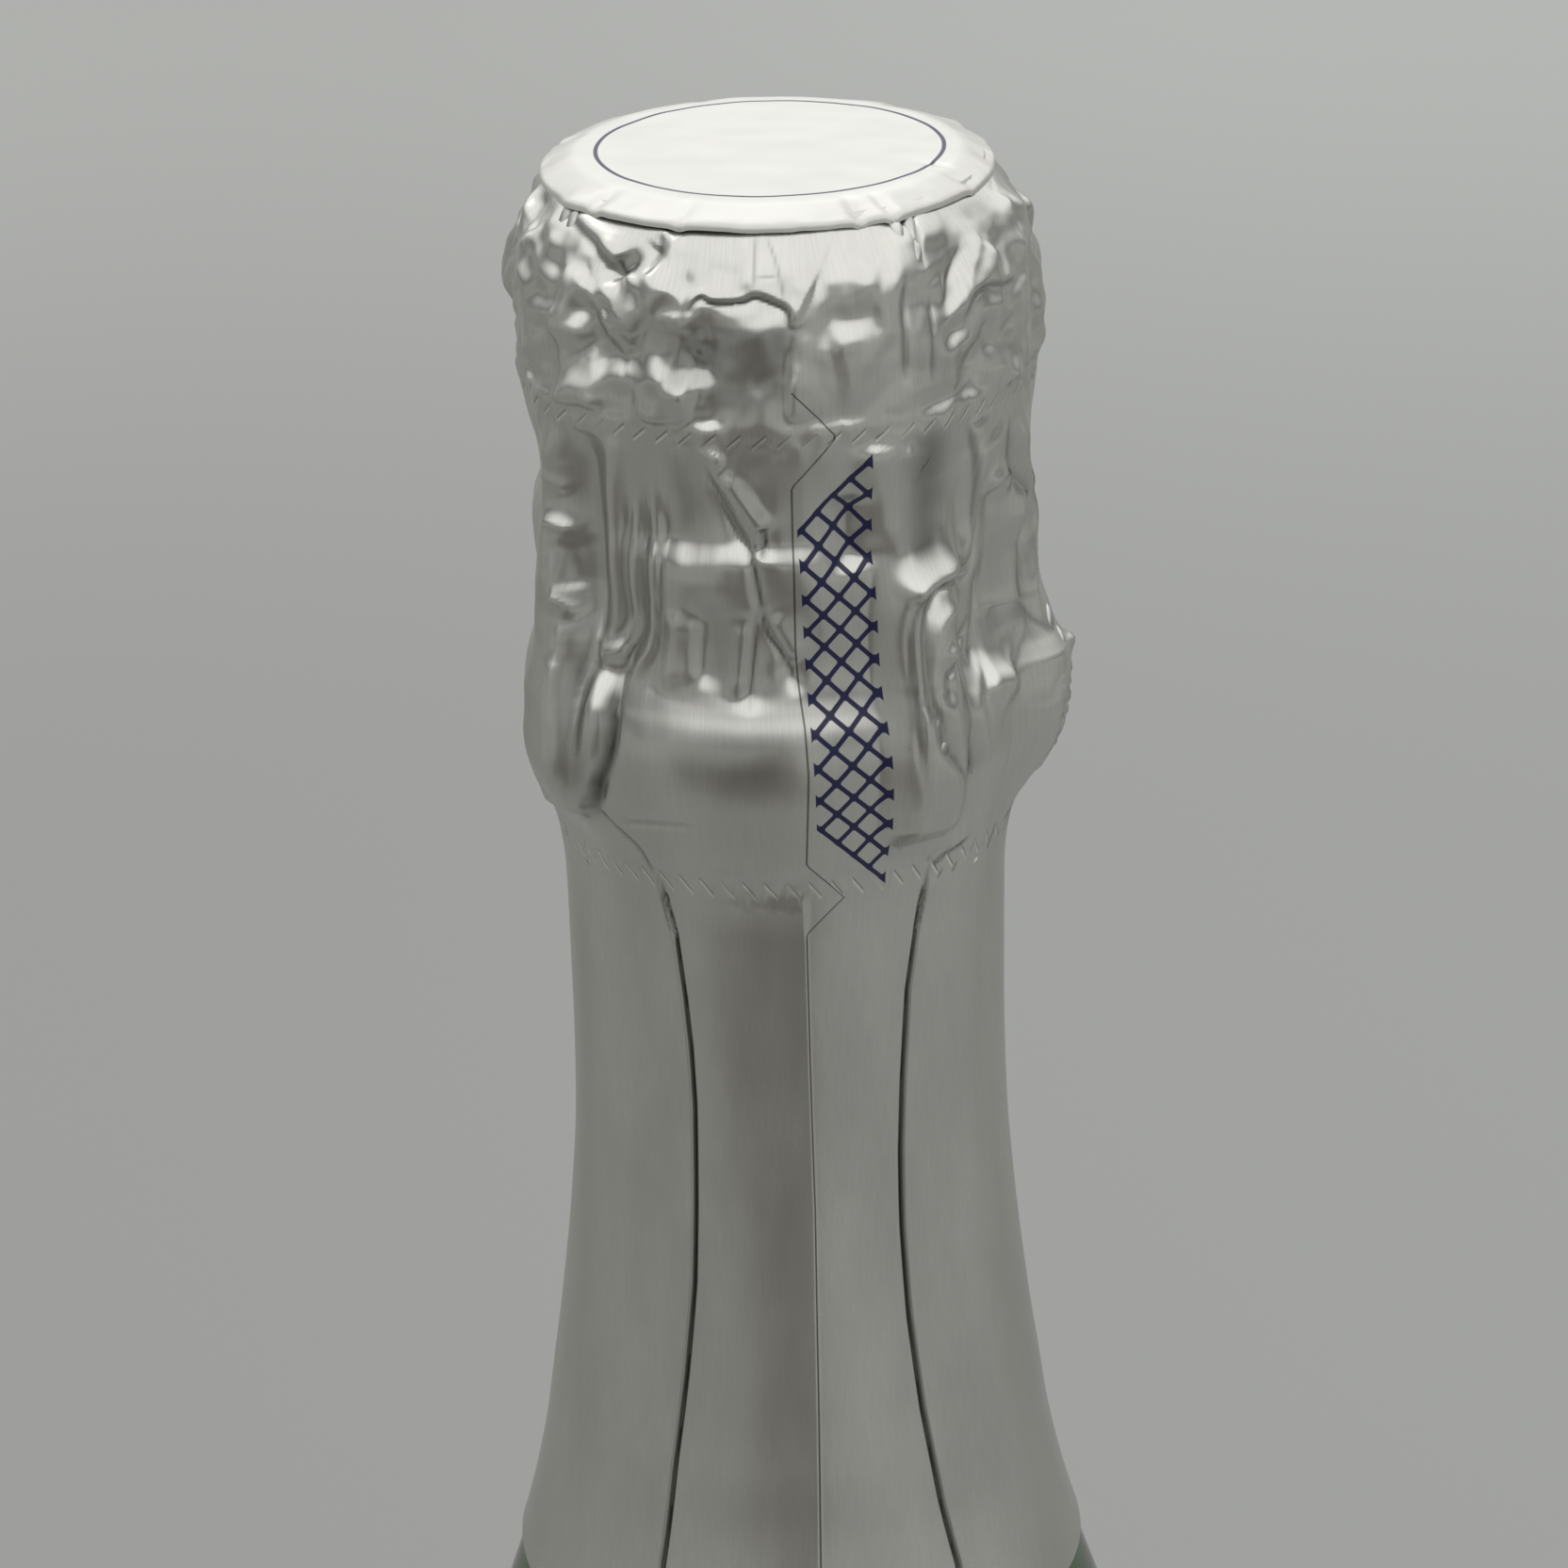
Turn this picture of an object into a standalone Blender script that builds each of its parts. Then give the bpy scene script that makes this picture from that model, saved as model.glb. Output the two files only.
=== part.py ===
"""Sealed 75 cl sparkling wine bottle: glass, cork, wire muselet and foil hood.

The bottle stands on z = 0 with its axis on Z, in metres. Azimuths are in degrees from the front (-Y)
towards the right (+X). Outlines are lists of (radius, height).
"""

import math

import bpy
import bmesh
from mathutils import Vector

# Clearances and sheet thicknesses
CONTACT_GAP = 0.0003
FOIL_THICKNESS = 0.00035
PLAQUE_THICKNESS = 0.0003

# Glass body
BOTTLE_HEIGHT = 0.300
BODY_RADIUS = 0.044
BODY_WALL = 0.0048
SHOULDER_HEIGHT = 0.110
HEEL_RADIUS = 0.0085
BASE_RING_WIDTH = 0.005
BASE_THICKNESS = 0.010
CAVITY_CORNER_RADIUS = 0.006
PUNT_DEPTH = 0.036
PUNT_WALL = 0.009

# Glass neck and finish, heights counted down from the mouth
NECK_RADIUS = 0.01505
BORE_RADIUS = 0.0089
DEEP_BORE_RADIUS = 0.0104
STRAIGHT_BORE_DEPTH = 0.028
DEEP_BORE_DEPTH = 0.060
LIP_ROUND = 0.0006
BEAD_RADIUS = 0.0144
BEAD_HEIGHT = 0.008
BEAD_ROUND = 0.0022
RECESS_RADIUS = 0.0132
RECESS_SLOPE = 0.0009
COLLAR_RADIUS = 0.0174
COLLAR_DEPTH = 0.011
COLLAR_HEIGHT = 0.006
COLLAR_ROUND = 0.002
COLLAR_UNDER_ROUND = 0.0012
NECK_FILLET = 0.001

# Shoulder and punt outlines, as (height share, radius share) from neck to body and (radius share,
# height share) from the rim to the axis
SHOULDER_SHARES = (
    (1.0, 0.0),
    (0.872, 0.0),
    (0.802, 0.012),
    (0.721, 0.063),
    (0.663, 0.118),
    (0.605, 0.206),
    (0.541, 0.333),
    (0.465, 0.495),
    (0.349, 0.700),
    (0.233, 0.872),
    (0.110, 0.978),
    (0.0, 1.0),
)
PUNT_SHARES = ((1.0, 0.0), (0.86, 0.22), (0.64, 0.56), (0.36, 0.86), (0.16, 0.97), (0.0, 1.0))

# Cork
CORK_INSERTION = 0.025
CORK_HEAD_HEIGHT = 0.020
CORK_HEAD_RADIUS = 0.0145
CORK_DISC_THICKNESS = 0.006
CORK_EDGE_ROUND = 0.0007
# Mushroom outline above the mouth, as (share of the way from stopper to head radius, height share)
MUSHROOM_SHARES = (
    (0.75, 0.985),
    (0.90, 0.94),
    (0.965, 0.85),
    (1.0, 0.62),
    (1.0, 0.42),
    (0.93, 0.22),
    (0.74, 0.09),
    (0.45, 0.02),
)

# Plaque, the stamped cap on the cork's head
PLAQUE_RADIUS = 0.0149
PLAQUE_SKIRT = 0.0028
PLAQUE_CORNER = 0.0009
PLAQUE_BOSS_RADIUS = 0.0102
PLAQUE_BOSS_RISE = 0.0005
PLAQUE_BOSS_SLOPE = 0.0008

# Muselet wires
CAGE_WIRE_RADIUS = 0.0005
CAGE_RING_RADIUS = 0.0125
LEG_COUNT = 4
FIRST_LEG_AZIMUTH = -57.0
TWIST_PITCH = 0.0085
TWIST_STEP = 0.001
EYELET_WIRE_RADIUS = 0.00045
BELT_WIRE_RADIUS = 0.00055
BELT_DROP = 0.002
BELT_SLACK = 0.0006
# Share of the pair's width left between its two wires, where they meet
PAIR_WAIST_SHARE = 0.22

# Key, the twisted ends of the belt wire
KEY_AZIMUTH = 78.0
STUB_OVERHANG = 0.0004
STEM_RISE = 0.0070
STEM_LENGTH = 0.0125
LOOP_LENGTH = 0.0125
LOOP_WIDTH = 0.0075
# Teardrop of the loop, as (share of half width, share of length) up one side
LOOP_SHARES = (
    (0.0, 0.0),
    (0.42, 0.13),
    (0.78, 0.33),
    (0.98, 0.56),
    (0.93, 0.76),
    (0.66, 0.92),
    (0.30, 0.985),
    (0.0, 1.0),
)

# Foil hood
FOIL_DISC_RADIUS = 0.0165
FOIL_DISC_BRIM = 0.0009
CAP_FOIL_DEPTH = 0.0144
TEAR_BAND_DEPTH = 0.0477
FOIL_LENGTH = 0.1087
PERFORATION_GAP = 0.0003
CAP_FOIL_RADIUS = 0.0173
WAIST_FOIL_RADIUS = 0.0166

# Round pieces: segments round the axis
GLASS_STEPS = 32
FOIL_STEPS = 40
CORK_STEPS = 28
PLAQUE_STEPS = 36
WIRE_RING_POINTS = 40
EYELET_POINTS = 12
MERGE_DISTANCE = 0.00001
SMOOTH_ANGLE = math.radians(35)

# Heights and radii that follow from the sizes above
COLLAR_TOP = BOTTLE_HEIGHT - COLLAR_DEPTH
COLLAR_BOTTOM = COLLAR_TOP - COLLAR_HEIGHT
NECK_TOP = COLLAR_BOTTOM - NECK_FILLET
CORK_TOP = BOTTLE_HEIGHT + CORK_HEAD_HEIGHT
CORK_RADIUS = BORE_RADIUS - CONTACT_GAP
PLAQUE_LAND = CORK_TOP + CONTACT_GAP + PLAQUE_THICKNESS
CAGE_RING_HEIGHT = PLAQUE_LAND + CONTACT_GAP + CAGE_WIRE_RADIUS
PAIR_RADIUS = 2 * CAGE_WIRE_RADIUS
LEG_TOP_RADIUS = PLAQUE_RADIUS + CONTACT_GAP + PAIR_RADIUS
LEG_COLLAR_RADIUS = COLLAR_RADIUS + CONTACT_GAP + 1.1 * PAIR_RADIUS
EYELET_HOLE_RADIUS = BELT_WIRE_RADIUS + CONTACT_GAP
EYELET_RADIUS = EYELET_HOLE_RADIUS + EYELET_WIRE_RADIUS
EYELET_REACH = EYELET_RADIUS + EYELET_WIRE_RADIUS
BELT_HEIGHT = COLLAR_BOTTOM - BELT_DROP
BELT_LEG_RADIUS = NECK_RADIUS + 1.2 * CONTACT_GAP + EYELET_REACH
KEY_PAIR_RADIUS = 2 * BELT_WIRE_RADIUS
STUB_END_RADIUS = COLLAR_RADIUS + STUB_OVERHANG
KEY_HINGE_RADIUS = STUB_END_RADIUS + CONTACT_GAP + KEY_PAIR_RADIUS
LOOP_RADIUS = CORK_HEAD_RADIUS + 2 * CONTACT_GAP + 1.3 * BELT_WIRE_RADIUS
FOIL_DISC_HEIGHT = CAGE_RING_HEIGHT + CAGE_WIRE_RADIUS + CONTACT_GAP
FOIL_TOP = FOIL_DISC_HEIGHT + FOIL_THICKNESS
CAP_FOIL_TOP = FOIL_DISC_HEIGHT - CONTACT_GAP
UPPER_PERFORATION = FOIL_TOP - CAP_FOIL_DEPTH
LOWER_PERFORATION = FOIL_TOP - TEAR_BAND_DEPTH
FOIL_BOTTOM = FOIL_TOP - FOIL_LENGTH

# Colours, roughness and metallic share of each finish
FINISHES = {
    "bottle_glass": ((0.010, 0.030, 0.014), 0.08, 0.0),
    "neck_foil": ((0.36, 0.36, 0.34), 0.38, 0.9),
    "top_disc": ((0.80, 0.79, 0.75), 0.32, 0.7),
    "plaque": ((0.62, 0.58, 0.50), 0.30, 1.0),
    "muselet_wire": ((0.50, 0.50, 0.49), 0.35, 1.0),
    "agglomerated_cork": ((0.55, 0.36, 0.20), 0.85, 0.0),
    "natural_cork": ((0.62, 0.43, 0.26), 0.80, 0.0),
}


def clear_scene():
    for item in list(bpy.data.objects):
        bpy.data.objects.remove(item, do_unlink=True)


def new_collection(name):
    collection = bpy.data.collections.new(name)
    bpy.context.scene.collection.children.link(collection)
    return collection


def new_material(name):
    colour, roughness, metallic = FINISHES[name]
    material = bpy.data.materials.new(name)
    material.use_nodes = True
    shader = material.node_tree.nodes["Principled BSDF"]
    shader.inputs["Base Color"].default_value = (*colour, 1.0)
    shader.inputs["Roughness"].default_value = roughness
    shader.inputs["Metallic"].default_value = metallic
    material.diffuse_color = (*colour, 1.0)
    return material


def around(radius, azimuth, height):
    """The point at a radius and azimuth from the bottle's axis."""
    angle = math.radians(azimuth)
    return Vector((radius * math.sin(angle), -radius * math.cos(angle), height))


def azimuth_of(point):
    return math.degrees(math.atan2(point.x, -point.y))


def arc(centre_radius, centre_height, radius, start, end, pieces):
    """Points of an arc in an outline, from a start to an end angle in degrees."""
    points = []
    for index in range(pieces + 1):
        angle = math.radians(start + (end - start) * index / pieces)
        along = centre_radius + radius * math.cos(angle)
        points.append((along, centre_height + radius * math.sin(angle)))
    return points


def smooth_curve(points, pieces):
    """A Catmull-Rom curve through points of any dimension, with so many pieces between two."""
    points = [Vector(point) for point in points]
    padded = [2 * points[0] - points[1], *points, 2 * points[-1] - points[-2]]
    curve = []
    for index in range(len(points) - 1):
        before, start, end, after = padded[index : index + 4]
        for piece in range(pieces):
            t = piece / pieces
            across = (
                2 * start
                + (end - before) * t
                + (2 * before - 5 * start + 4 * end - after) * t**2
                + (3 * start - before - 3 * end + after) * t**3
            )
            curve.append(across / 2)
    curve.append(points[-1])
    return curve


def radius_at(outline, height):
    """The radius of an outline that runs down, at a height between its ends."""
    for (upper_radius, upper), (lower_radius, lower) in zip(outline, outline[1:]):
        if upper > lower and upper >= height >= lower:
            share = (upper - height) / (upper - lower)
            return upper_radius + (lower_radius - upper_radius) * share
    return outline[0][0] if height > outline[0][1] else outline[-1][0]


def profile_mesh(name, outline, azimuth, closed=False):
    points = [around(radius, azimuth, height) for radius, height in outline]
    edges = [(index, index + 1) for index in range(len(points) - 1)]
    if closed:
        edges.append((len(points) - 1, 0))
    mesh = bpy.data.meshes.new(name)
    mesh.from_pydata(points, edges, [])
    return mesh


def place(name, mesh, material, collection):
    item = bpy.data.objects.new(name, mesh)
    collection.objects.link(item)
    item.data.materials.clear()
    item.data.materials.append(material)
    return item


def add_screw(item, steps):
    screw = item.modifiers.new("turn", "SCREW")
    screw.axis = "Z"
    screw.angle = 2 * math.pi
    screw.steps = steps
    screw.render_steps = steps
    screw.use_merge_vertices = True
    screw.merge_threshold = MERGE_DISTANCE
    screw.use_smooth_shade = True
    return screw


def evaluated_mesh(item):
    """A new mesh of the object as its modifiers leave it."""
    bpy.context.view_layer.update()
    graph = bpy.context.evaluated_depsgraph_get()
    mesh = bpy.data.meshes.new_from_object(item.evaluated_get(graph))
    cleaned = bmesh.new()
    cleaned.from_mesh(mesh)
    bmesh.ops.remove_doubles(cleaned, verts=cleaned.verts, dist=MERGE_DISTANCE)
    cleaned.to_mesh(mesh)
    cleaned.free()
    return mesh


def smooth_shaded(item):
    item.data.shade_smooth()
    item.data.set_sharp_from_angle(angle=SMOOTH_ANGLE)
    return item


def turned(name, outline, steps, material, collection, closed=False):
    """A solid of revolution whose outline runs down its outer side."""
    item = place(name, profile_mesh(name, outline, 90.0, closed), material, collection)
    add_screw(item, steps)
    mesh = evaluated_mesh(item)
    item.modifiers.clear()
    item.data = mesh
    item.data.materials.clear()
    item.data.materials.append(material)
    return smooth_shaded(item)


def add_thickness(item, thickness):
    wall = item.modifiers.new("sheet", "SOLIDIFY")
    wall.thickness = thickness
    wall.offset = 1.0
    wall.use_even_offset = True
    return wall


# Glass


def shoulder_outline():
    """The outside of the glass from under the collar to the straight body."""
    points = []
    for height_share, radius_share in SHOULDER_SHARES:
        height = SHOULDER_HEIGHT + height_share * (NECK_TOP - SHOULDER_HEIGHT)
        points.append((NECK_RADIUS + radius_share * (BODY_RADIUS - NECK_RADIUS), height))
    return [tuple(point) for point in smooth_curve(points, 2)]


def finish_outline():
    """The lip, crown bead, recess and collar ring, from the bore's edge down to the neck."""
    bead_bottom = BOTTLE_HEIGHT - BEAD_HEIGHT
    bead_centre = BEAD_RADIUS - BEAD_ROUND
    outline = [(BORE_RADIUS + LIP_ROUND, BOTTLE_HEIGHT)]
    outline += arc(bead_centre, BOTTLE_HEIGHT - BEAD_ROUND, BEAD_ROUND, 90, 0, 3)
    outline += arc(bead_centre, bead_bottom + BEAD_ROUND, BEAD_ROUND, 0, -90, 2)
    outline.append((RECESS_RADIUS, bead_bottom - RECESS_SLOPE))
    outline.append((RECESS_RADIUS, COLLAR_TOP + RECESS_SLOPE))
    outline += arc(COLLAR_RADIUS - COLLAR_ROUND, COLLAR_TOP - COLLAR_ROUND, COLLAR_ROUND, 90, 0, 3)
    under_centre = COLLAR_RADIUS - COLLAR_UNDER_ROUND
    outline += arc(under_centre, COLLAR_BOTTOM + COLLAR_UNDER_ROUND, COLLAR_UNDER_ROUND, 0, -90, 2)
    outline.append((NECK_RADIUS + NECK_FILLET, COLLAR_BOTTOM))
    return outline


def punt_outline(radius, bottom, top):
    """The dome of the punt, from its rim to the axis."""
    return [(radius * across, bottom + (top - bottom) * rise) for across, rise in PUNT_SHARES]


def cavity_outline(outside):
    """The inside of the glass, from the axis over the punt and up to the mouth."""
    wall_radius = BODY_RADIUS - BODY_WALL
    valley_radius = wall_radius - CAVITY_CORNER_RADIUS
    outline = punt_outline(valley_radius, BASE_THICKNESS, PUNT_DEPTH + PUNT_WALL)[::-1]
    corner = arc(valley_radius, BASE_THICKNESS + CAVITY_CORNER_RADIUS, CAVITY_CORNER_RADIUS, -90, 0, 3)
    outline += corner[1:]
    bore_start = BOTTLE_HEIGHT - DEEP_BORE_DEPTH
    neck_wall = radius_at(outside, bore_start) - DEEP_BORE_RADIUS
    heights = sorted(height for radius, height in outside[::2] if height < bore_start)
    for height in heights:
        share = (height - SHOULDER_HEIGHT) / (bore_start - SHOULDER_HEIGHT)
        wall = BODY_WALL + (neck_wall - BODY_WALL) * share
        outline.append((radius_at(outside, height) - wall, height))
    outline.append((DEEP_BORE_RADIUS, bore_start))
    outline.append((BORE_RADIUS, BOTTLE_HEIGHT - STRAIGHT_BORE_DEPTH))
    outline.append((BORE_RADIUS, BOTTLE_HEIGHT - LIP_ROUND))
    return outline


def make_glass(material, collection):
    shoulder = shoulder_outline()
    ring_radius = BODY_RADIUS - HEEL_RADIUS
    outline = cavity_outline(shoulder) + finish_outline() + shoulder
    outline += arc(ring_radius, HEEL_RADIUS, HEEL_RADIUS, 0, -90, 4)
    outline += punt_outline(ring_radius - BASE_RING_WIDTH, 0, PUNT_DEPTH)
    return turned("glass_bottle", outline, GLASS_STEPS, material, collection)


# Cork


def make_cork(material, disc_material, collection):
    """The agglomerated mushroom over two natural discs, glued below it."""
    bottom = BOTTLE_HEIGHT - CORK_INSERTION
    base = BOTTLE_HEIGHT + CONTACT_GAP
    rise = CORK_TOP - base
    outline = [(0, CORK_TOP)]
    for radius_share, height_share in MUSHROOM_SHARES:
        radius = CORK_RADIUS + radius_share * (CORK_HEAD_RADIUS - CORK_RADIUS)
        outline.append((radius, base + height_share * rise))
    outline.insert(1, (outline[1][0] - CORK_EDGE_ROUND, CORK_TOP))
    outline.append((CORK_RADIUS, base))
    body_bottom = bottom + 2 * (CORK_DISC_THICKNESS + CONTACT_GAP)
    outline += [(CORK_RADIUS, body_bottom), (0, body_bottom)]
    turned("cork_body", outline, CORK_STEPS, material, collection)
    for name, level in (("cork_disc_inner", 0), ("cork_disc_outer", 1)):
        low = bottom + level * (CORK_DISC_THICKNESS + CONTACT_GAP)
        high = low + CORK_DISC_THICKNESS
        wet_edge = CORK_EDGE_ROUND if level == 0 else 0
        disc = [(0, high), (CORK_RADIUS, high), (CORK_RADIUS, low + wet_edge)]
        if wet_edge:
            disc.append((CORK_RADIUS - wet_edge, low))
        disc.append((0, low))
        turned(name, disc, CORK_STEPS, disc_material, collection)


# Plaque and wires


def make_plaque(material, collection):
    """The stamped cap: a raised centre, a flat land for the wire ring and a short skirt."""
    inner_radius = PLAQUE_RADIUS - PLAQUE_THICKNESS
    land = CORK_TOP + CONTACT_GAP
    boss = land + PLAQUE_BOSS_RISE
    outline = [(0, boss), (PLAQUE_BOSS_RADIUS, boss), (PLAQUE_BOSS_RADIUS + PLAQUE_BOSS_SLOPE, land)]
    outline += arc(inner_radius - PLAQUE_CORNER, land - PLAQUE_CORNER, PLAQUE_CORNER, 90, 0, 3)
    outline.append((inner_radius, land - PLAQUE_SKIRT))
    item = turned("muselet_plaque", outline, PLAQUE_STEPS, material, collection)
    add_thickness(item, PLAQUE_THICKNESS)
    return item


def pair_section(wire_radius, cutters):
    """The outline of two wires side by side, as a closed curve that a twisted pair follows."""
    outline = []
    for side in (1, -1):
        for angle in (-60, 0, 60):
            turn = math.radians(angle)
            across = side * wire_radius * (1 + math.cos(turn))
            outline.append((across, side * wire_radius * math.sin(turn)))
        outline.append((0, side * 2 * PAIR_WAIST_SHARE * wire_radius))
    curve = bpy.data.curves.new("pair_section", "CURVE")
    curve.dimensions = "2D"
    spline = curve.splines.new("POLY")
    spline.points.add(len(outline) - 1)
    for point, (across, up) in zip(spline.points, outline):
        point.co = (across, up, 0, 1)
    spline.use_cyclic_u = True
    guide = bpy.data.objects.new("pair_section", curve)
    guide.hide_render = True
    guide.display_type = "WIRE"
    cutters.objects.link(guide)
    return guide


def wire_curve(name, points, cyclic=False):
    curve = bpy.data.curves.new(name, "CURVE")
    curve.dimensions = "3D"
    curve.twist_mode = "MINIMUM"
    spline = curve.splines.new("POLY")
    spline.points.add(len(points) - 1)
    for target, point in zip(spline.points, points):
        target.co = (*point, 1)
    spline.use_cyclic_u = cyclic
    curve.use_fill_caps = not cyclic
    return curve


def solid_of_curve(name, curve, collection):
    """A mesh object of a bevelled curve, with its caps welded and its faces outwards."""
    holder = bpy.data.objects.new(name, curve)
    collection.objects.link(holder)
    mesh = evaluated_mesh(holder)
    bpy.data.objects.remove(holder)
    turned_out = bmesh.new()
    turned_out.from_mesh(mesh)
    bmesh.ops.recalc_face_normals(turned_out, faces=turned_out.faces)
    turned_out.to_mesh(mesh)
    turned_out.free()
    item = bpy.data.objects.new(name, mesh)
    collection.objects.link(item)
    return item


def round_wire(name, points, radius, collection, cyclic=False, resolution=1):
    curve = wire_curve(name, points, cyclic)
    curve.bevel_depth = radius
    curve.bevel_resolution = resolution
    return solid_of_curve(name, curve, collection)


def twisted_pair(name, route, section, straight, collection):
    """Two wires twisted together along a route, side by side up to a straight length."""
    curve = wire_curve(name, route)
    curve.bevel_mode = "OBJECT"
    curve.bevel_object = section
    travelled = 0
    points = curve.splines[0].points
    for index, point in enumerate(points):
        if index:
            travelled += (route[index] - route[index - 1]).length
        point.tilt = 2 * math.pi * max(travelled - straight, 0) / TWIST_PITCH
    return solid_of_curve(name, curve, collection)


def evenly_spaced(points, spacing):
    """Points at an even spacing of about the given length along a smooth curve."""
    fine = smooth_curve(points, 12)
    lengths = [0]
    for start, end in zip(fine, fine[1:]):
        lengths.append(lengths[-1] + (end - start).length)
    count = max(2, round(lengths[-1] / spacing))
    spaced = []
    index = 0
    for step in range(count + 1):
        target = lengths[-1] * step / count
        while index < len(fine) - 2 and lengths[index + 1] < target:
            index += 1
        span = lengths[index + 1] - lengths[index]
        spaced.append(fine[index].lerp(fine[index + 1], (target - lengths[index]) / span))
    return spaced


def joined(name, pieces, material, collection):
    """One body from several that overlap."""
    base = pieces[0]
    for piece in pieces[1:]:
        union = base.modifiers.new("join", "BOOLEAN")
        union.operation = "UNION"
        union.solver = "EXACT"
        union.object = piece
    mesh = evaluated_mesh(base)
    for piece in pieces:
        bpy.data.objects.remove(piece)
    return smooth_shaded(place(name, mesh, material, collection))


def leg_outline():
    """The middle of a leg: over the plaque's edge, down the cork and out over the collar."""
    corner = CAGE_RING_HEIGHT - CAGE_WIRE_RADIUS
    side = LEG_TOP_RADIUS
    collar_middle = COLLAR_TOP - COLLAR_HEIGHT / 2
    bead_side = max(BEAD_RADIUS, CORK_HEAD_RADIUS) + 2 * CONTACT_GAP + PAIR_RADIUS
    return [
        (CAGE_RING_RADIUS, CAGE_RING_HEIGHT),
        (PLAQUE_RADIUS - PLAQUE_CORNER, CAGE_RING_HEIGHT),
        (PLAQUE_RADIUS + CONTACT_GAP, corner + CONTACT_GAP / 6),
        (side - 1.2 * CONTACT_GAP, corner - PAIR_RADIUS),
        (side, corner - PLAQUE_SKIRT),
        (side, CORK_TOP - CORK_HEAD_HEIGHT / 2),
        (bead_side, BOTTLE_HEIGHT),
        (bead_side, BOTTLE_HEIGHT - BEAD_HEIGHT / 2),
        (bead_side + PAIR_RADIUS / 2, BOTTLE_HEIGHT - BEAD_HEIGHT),
        (LEG_COLLAR_RADIUS - PAIR_RADIUS, COLLAR_TOP + PAIR_RADIUS),
        (LEG_COLLAR_RADIUS, collar_middle + PAIR_RADIUS),
        (LEG_COLLAR_RADIUS, collar_middle - PAIR_RADIUS),
        (BELT_LEG_RADIUS + EYELET_RADIUS, BELT_HEIGHT + EYELET_RADIUS),
    ]


def leg_azimuths():
    return [FIRST_LEG_AZIMUTH + 360 * index / LEG_COUNT for index in range(LEG_COUNT)]


def ring_points(radius_of, height):
    points = []
    for index in range(WIRE_RING_POINTS):
        azimuth = FIRST_LEG_AZIMUTH + 360 * index / WIRE_RING_POINTS
        points.append(around(radius_of(azimuth), azimuth, height))
    return points


def make_cage(material, cutters, collection):
    """The body wire: a ring on the plaque and twisted legs that end in eyelets."""
    section = pair_section(CAGE_WIRE_RADIUS, cutters)
    ring = ring_points(lambda azimuth: CAGE_RING_RADIUS, CAGE_RING_HEIGHT)
    pieces = [round_wire("cage_ring", ring, CAGE_WIRE_RADIUS, collection, cyclic=True)]
    outline = leg_outline()
    straight = PLAQUE_RADIUS - CAGE_RING_RADIUS + PAIR_RADIUS
    for azimuth in leg_azimuths():
        path = [around(radius, azimuth, height) for radius, height in outline]
        route = evenly_spaced(path, TWIST_STEP)
        pieces.append(twisted_pair("leg", route, section, straight, collection))
        eyelet = []
        for radius, height in arc(BELT_LEG_RADIUS, BELT_HEIGHT, EYELET_RADIUS, 0, 360, EYELET_POINTS)[1:]:
            eyelet.append(around(radius, azimuth, height))
        pieces.append(round_wire("eyelet", eyelet, EYELET_WIRE_RADIUS, collection, cyclic=True))
    return joined("muselet_cage", pieces, material, collection)


def belt_radius(azimuth):
    """The belt wire's radius: widest through the eyelets and drawn in between them."""
    turn = math.radians(LEG_COUNT * (azimuth - FIRST_LEG_AZIMUTH))
    return BELT_LEG_RADIUS - BELT_SLACK * (1 - math.cos(turn)) / 2


def make_belt(material, cutters, collection):
    """The belt wire under the collar, with the stub where its ends are twisted together."""
    section = pair_section(BELT_WIRE_RADIUS, cutters)
    belt = ring_points(belt_radius, BELT_HEIGHT)
    pieces = [round_wire("belt", belt, BELT_WIRE_RADIUS, collection, cyclic=True)]
    start = around(belt_radius(KEY_AZIMUTH), KEY_AZIMUTH, BELT_HEIGHT)
    end = around(STUB_END_RADIUS, KEY_AZIMUTH, BELT_HEIGHT)
    route = [start.lerp(end, step / 3) for step in range(4)]
    pieces.append(twisted_pair("stub", route, section, 0, collection))
    return joined("belt_wire", pieces, material, collection)


def stem_outline():
    """The twisted stem: up past the collar, then in towards the recess."""
    return [
        (KEY_HINGE_RADIUS, BELT_HEIGHT),
        (KEY_HINGE_RADIUS, BELT_HEIGHT + STEM_RISE / 2),
        (KEY_HINGE_RADIUS, BELT_HEIGHT + STEM_RISE),
        ((KEY_HINGE_RADIUS + LOOP_RADIUS) / 2, BELT_HEIGHT + (STEM_RISE + STEM_LENGTH) / 2),
        (LOOP_RADIUS + BELT_WIRE_RADIUS, BELT_HEIGHT + STEM_LENGTH),
    ]


def loop_axis():
    """The foot and the top of the loop's own middle line."""
    foot_radius = LOOP_RADIUS + BELT_WIRE_RADIUS / 2
    foot_height = BELT_HEIGHT + STEM_LENGTH + CONTACT_GAP + BELT_WIRE_RADIUS
    foot = around(foot_radius, KEY_AZIMUTH, foot_height)
    top = around(LOOP_RADIUS, KEY_AZIMUTH, foot_height + LOOP_LENGTH)
    return foot, top


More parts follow.
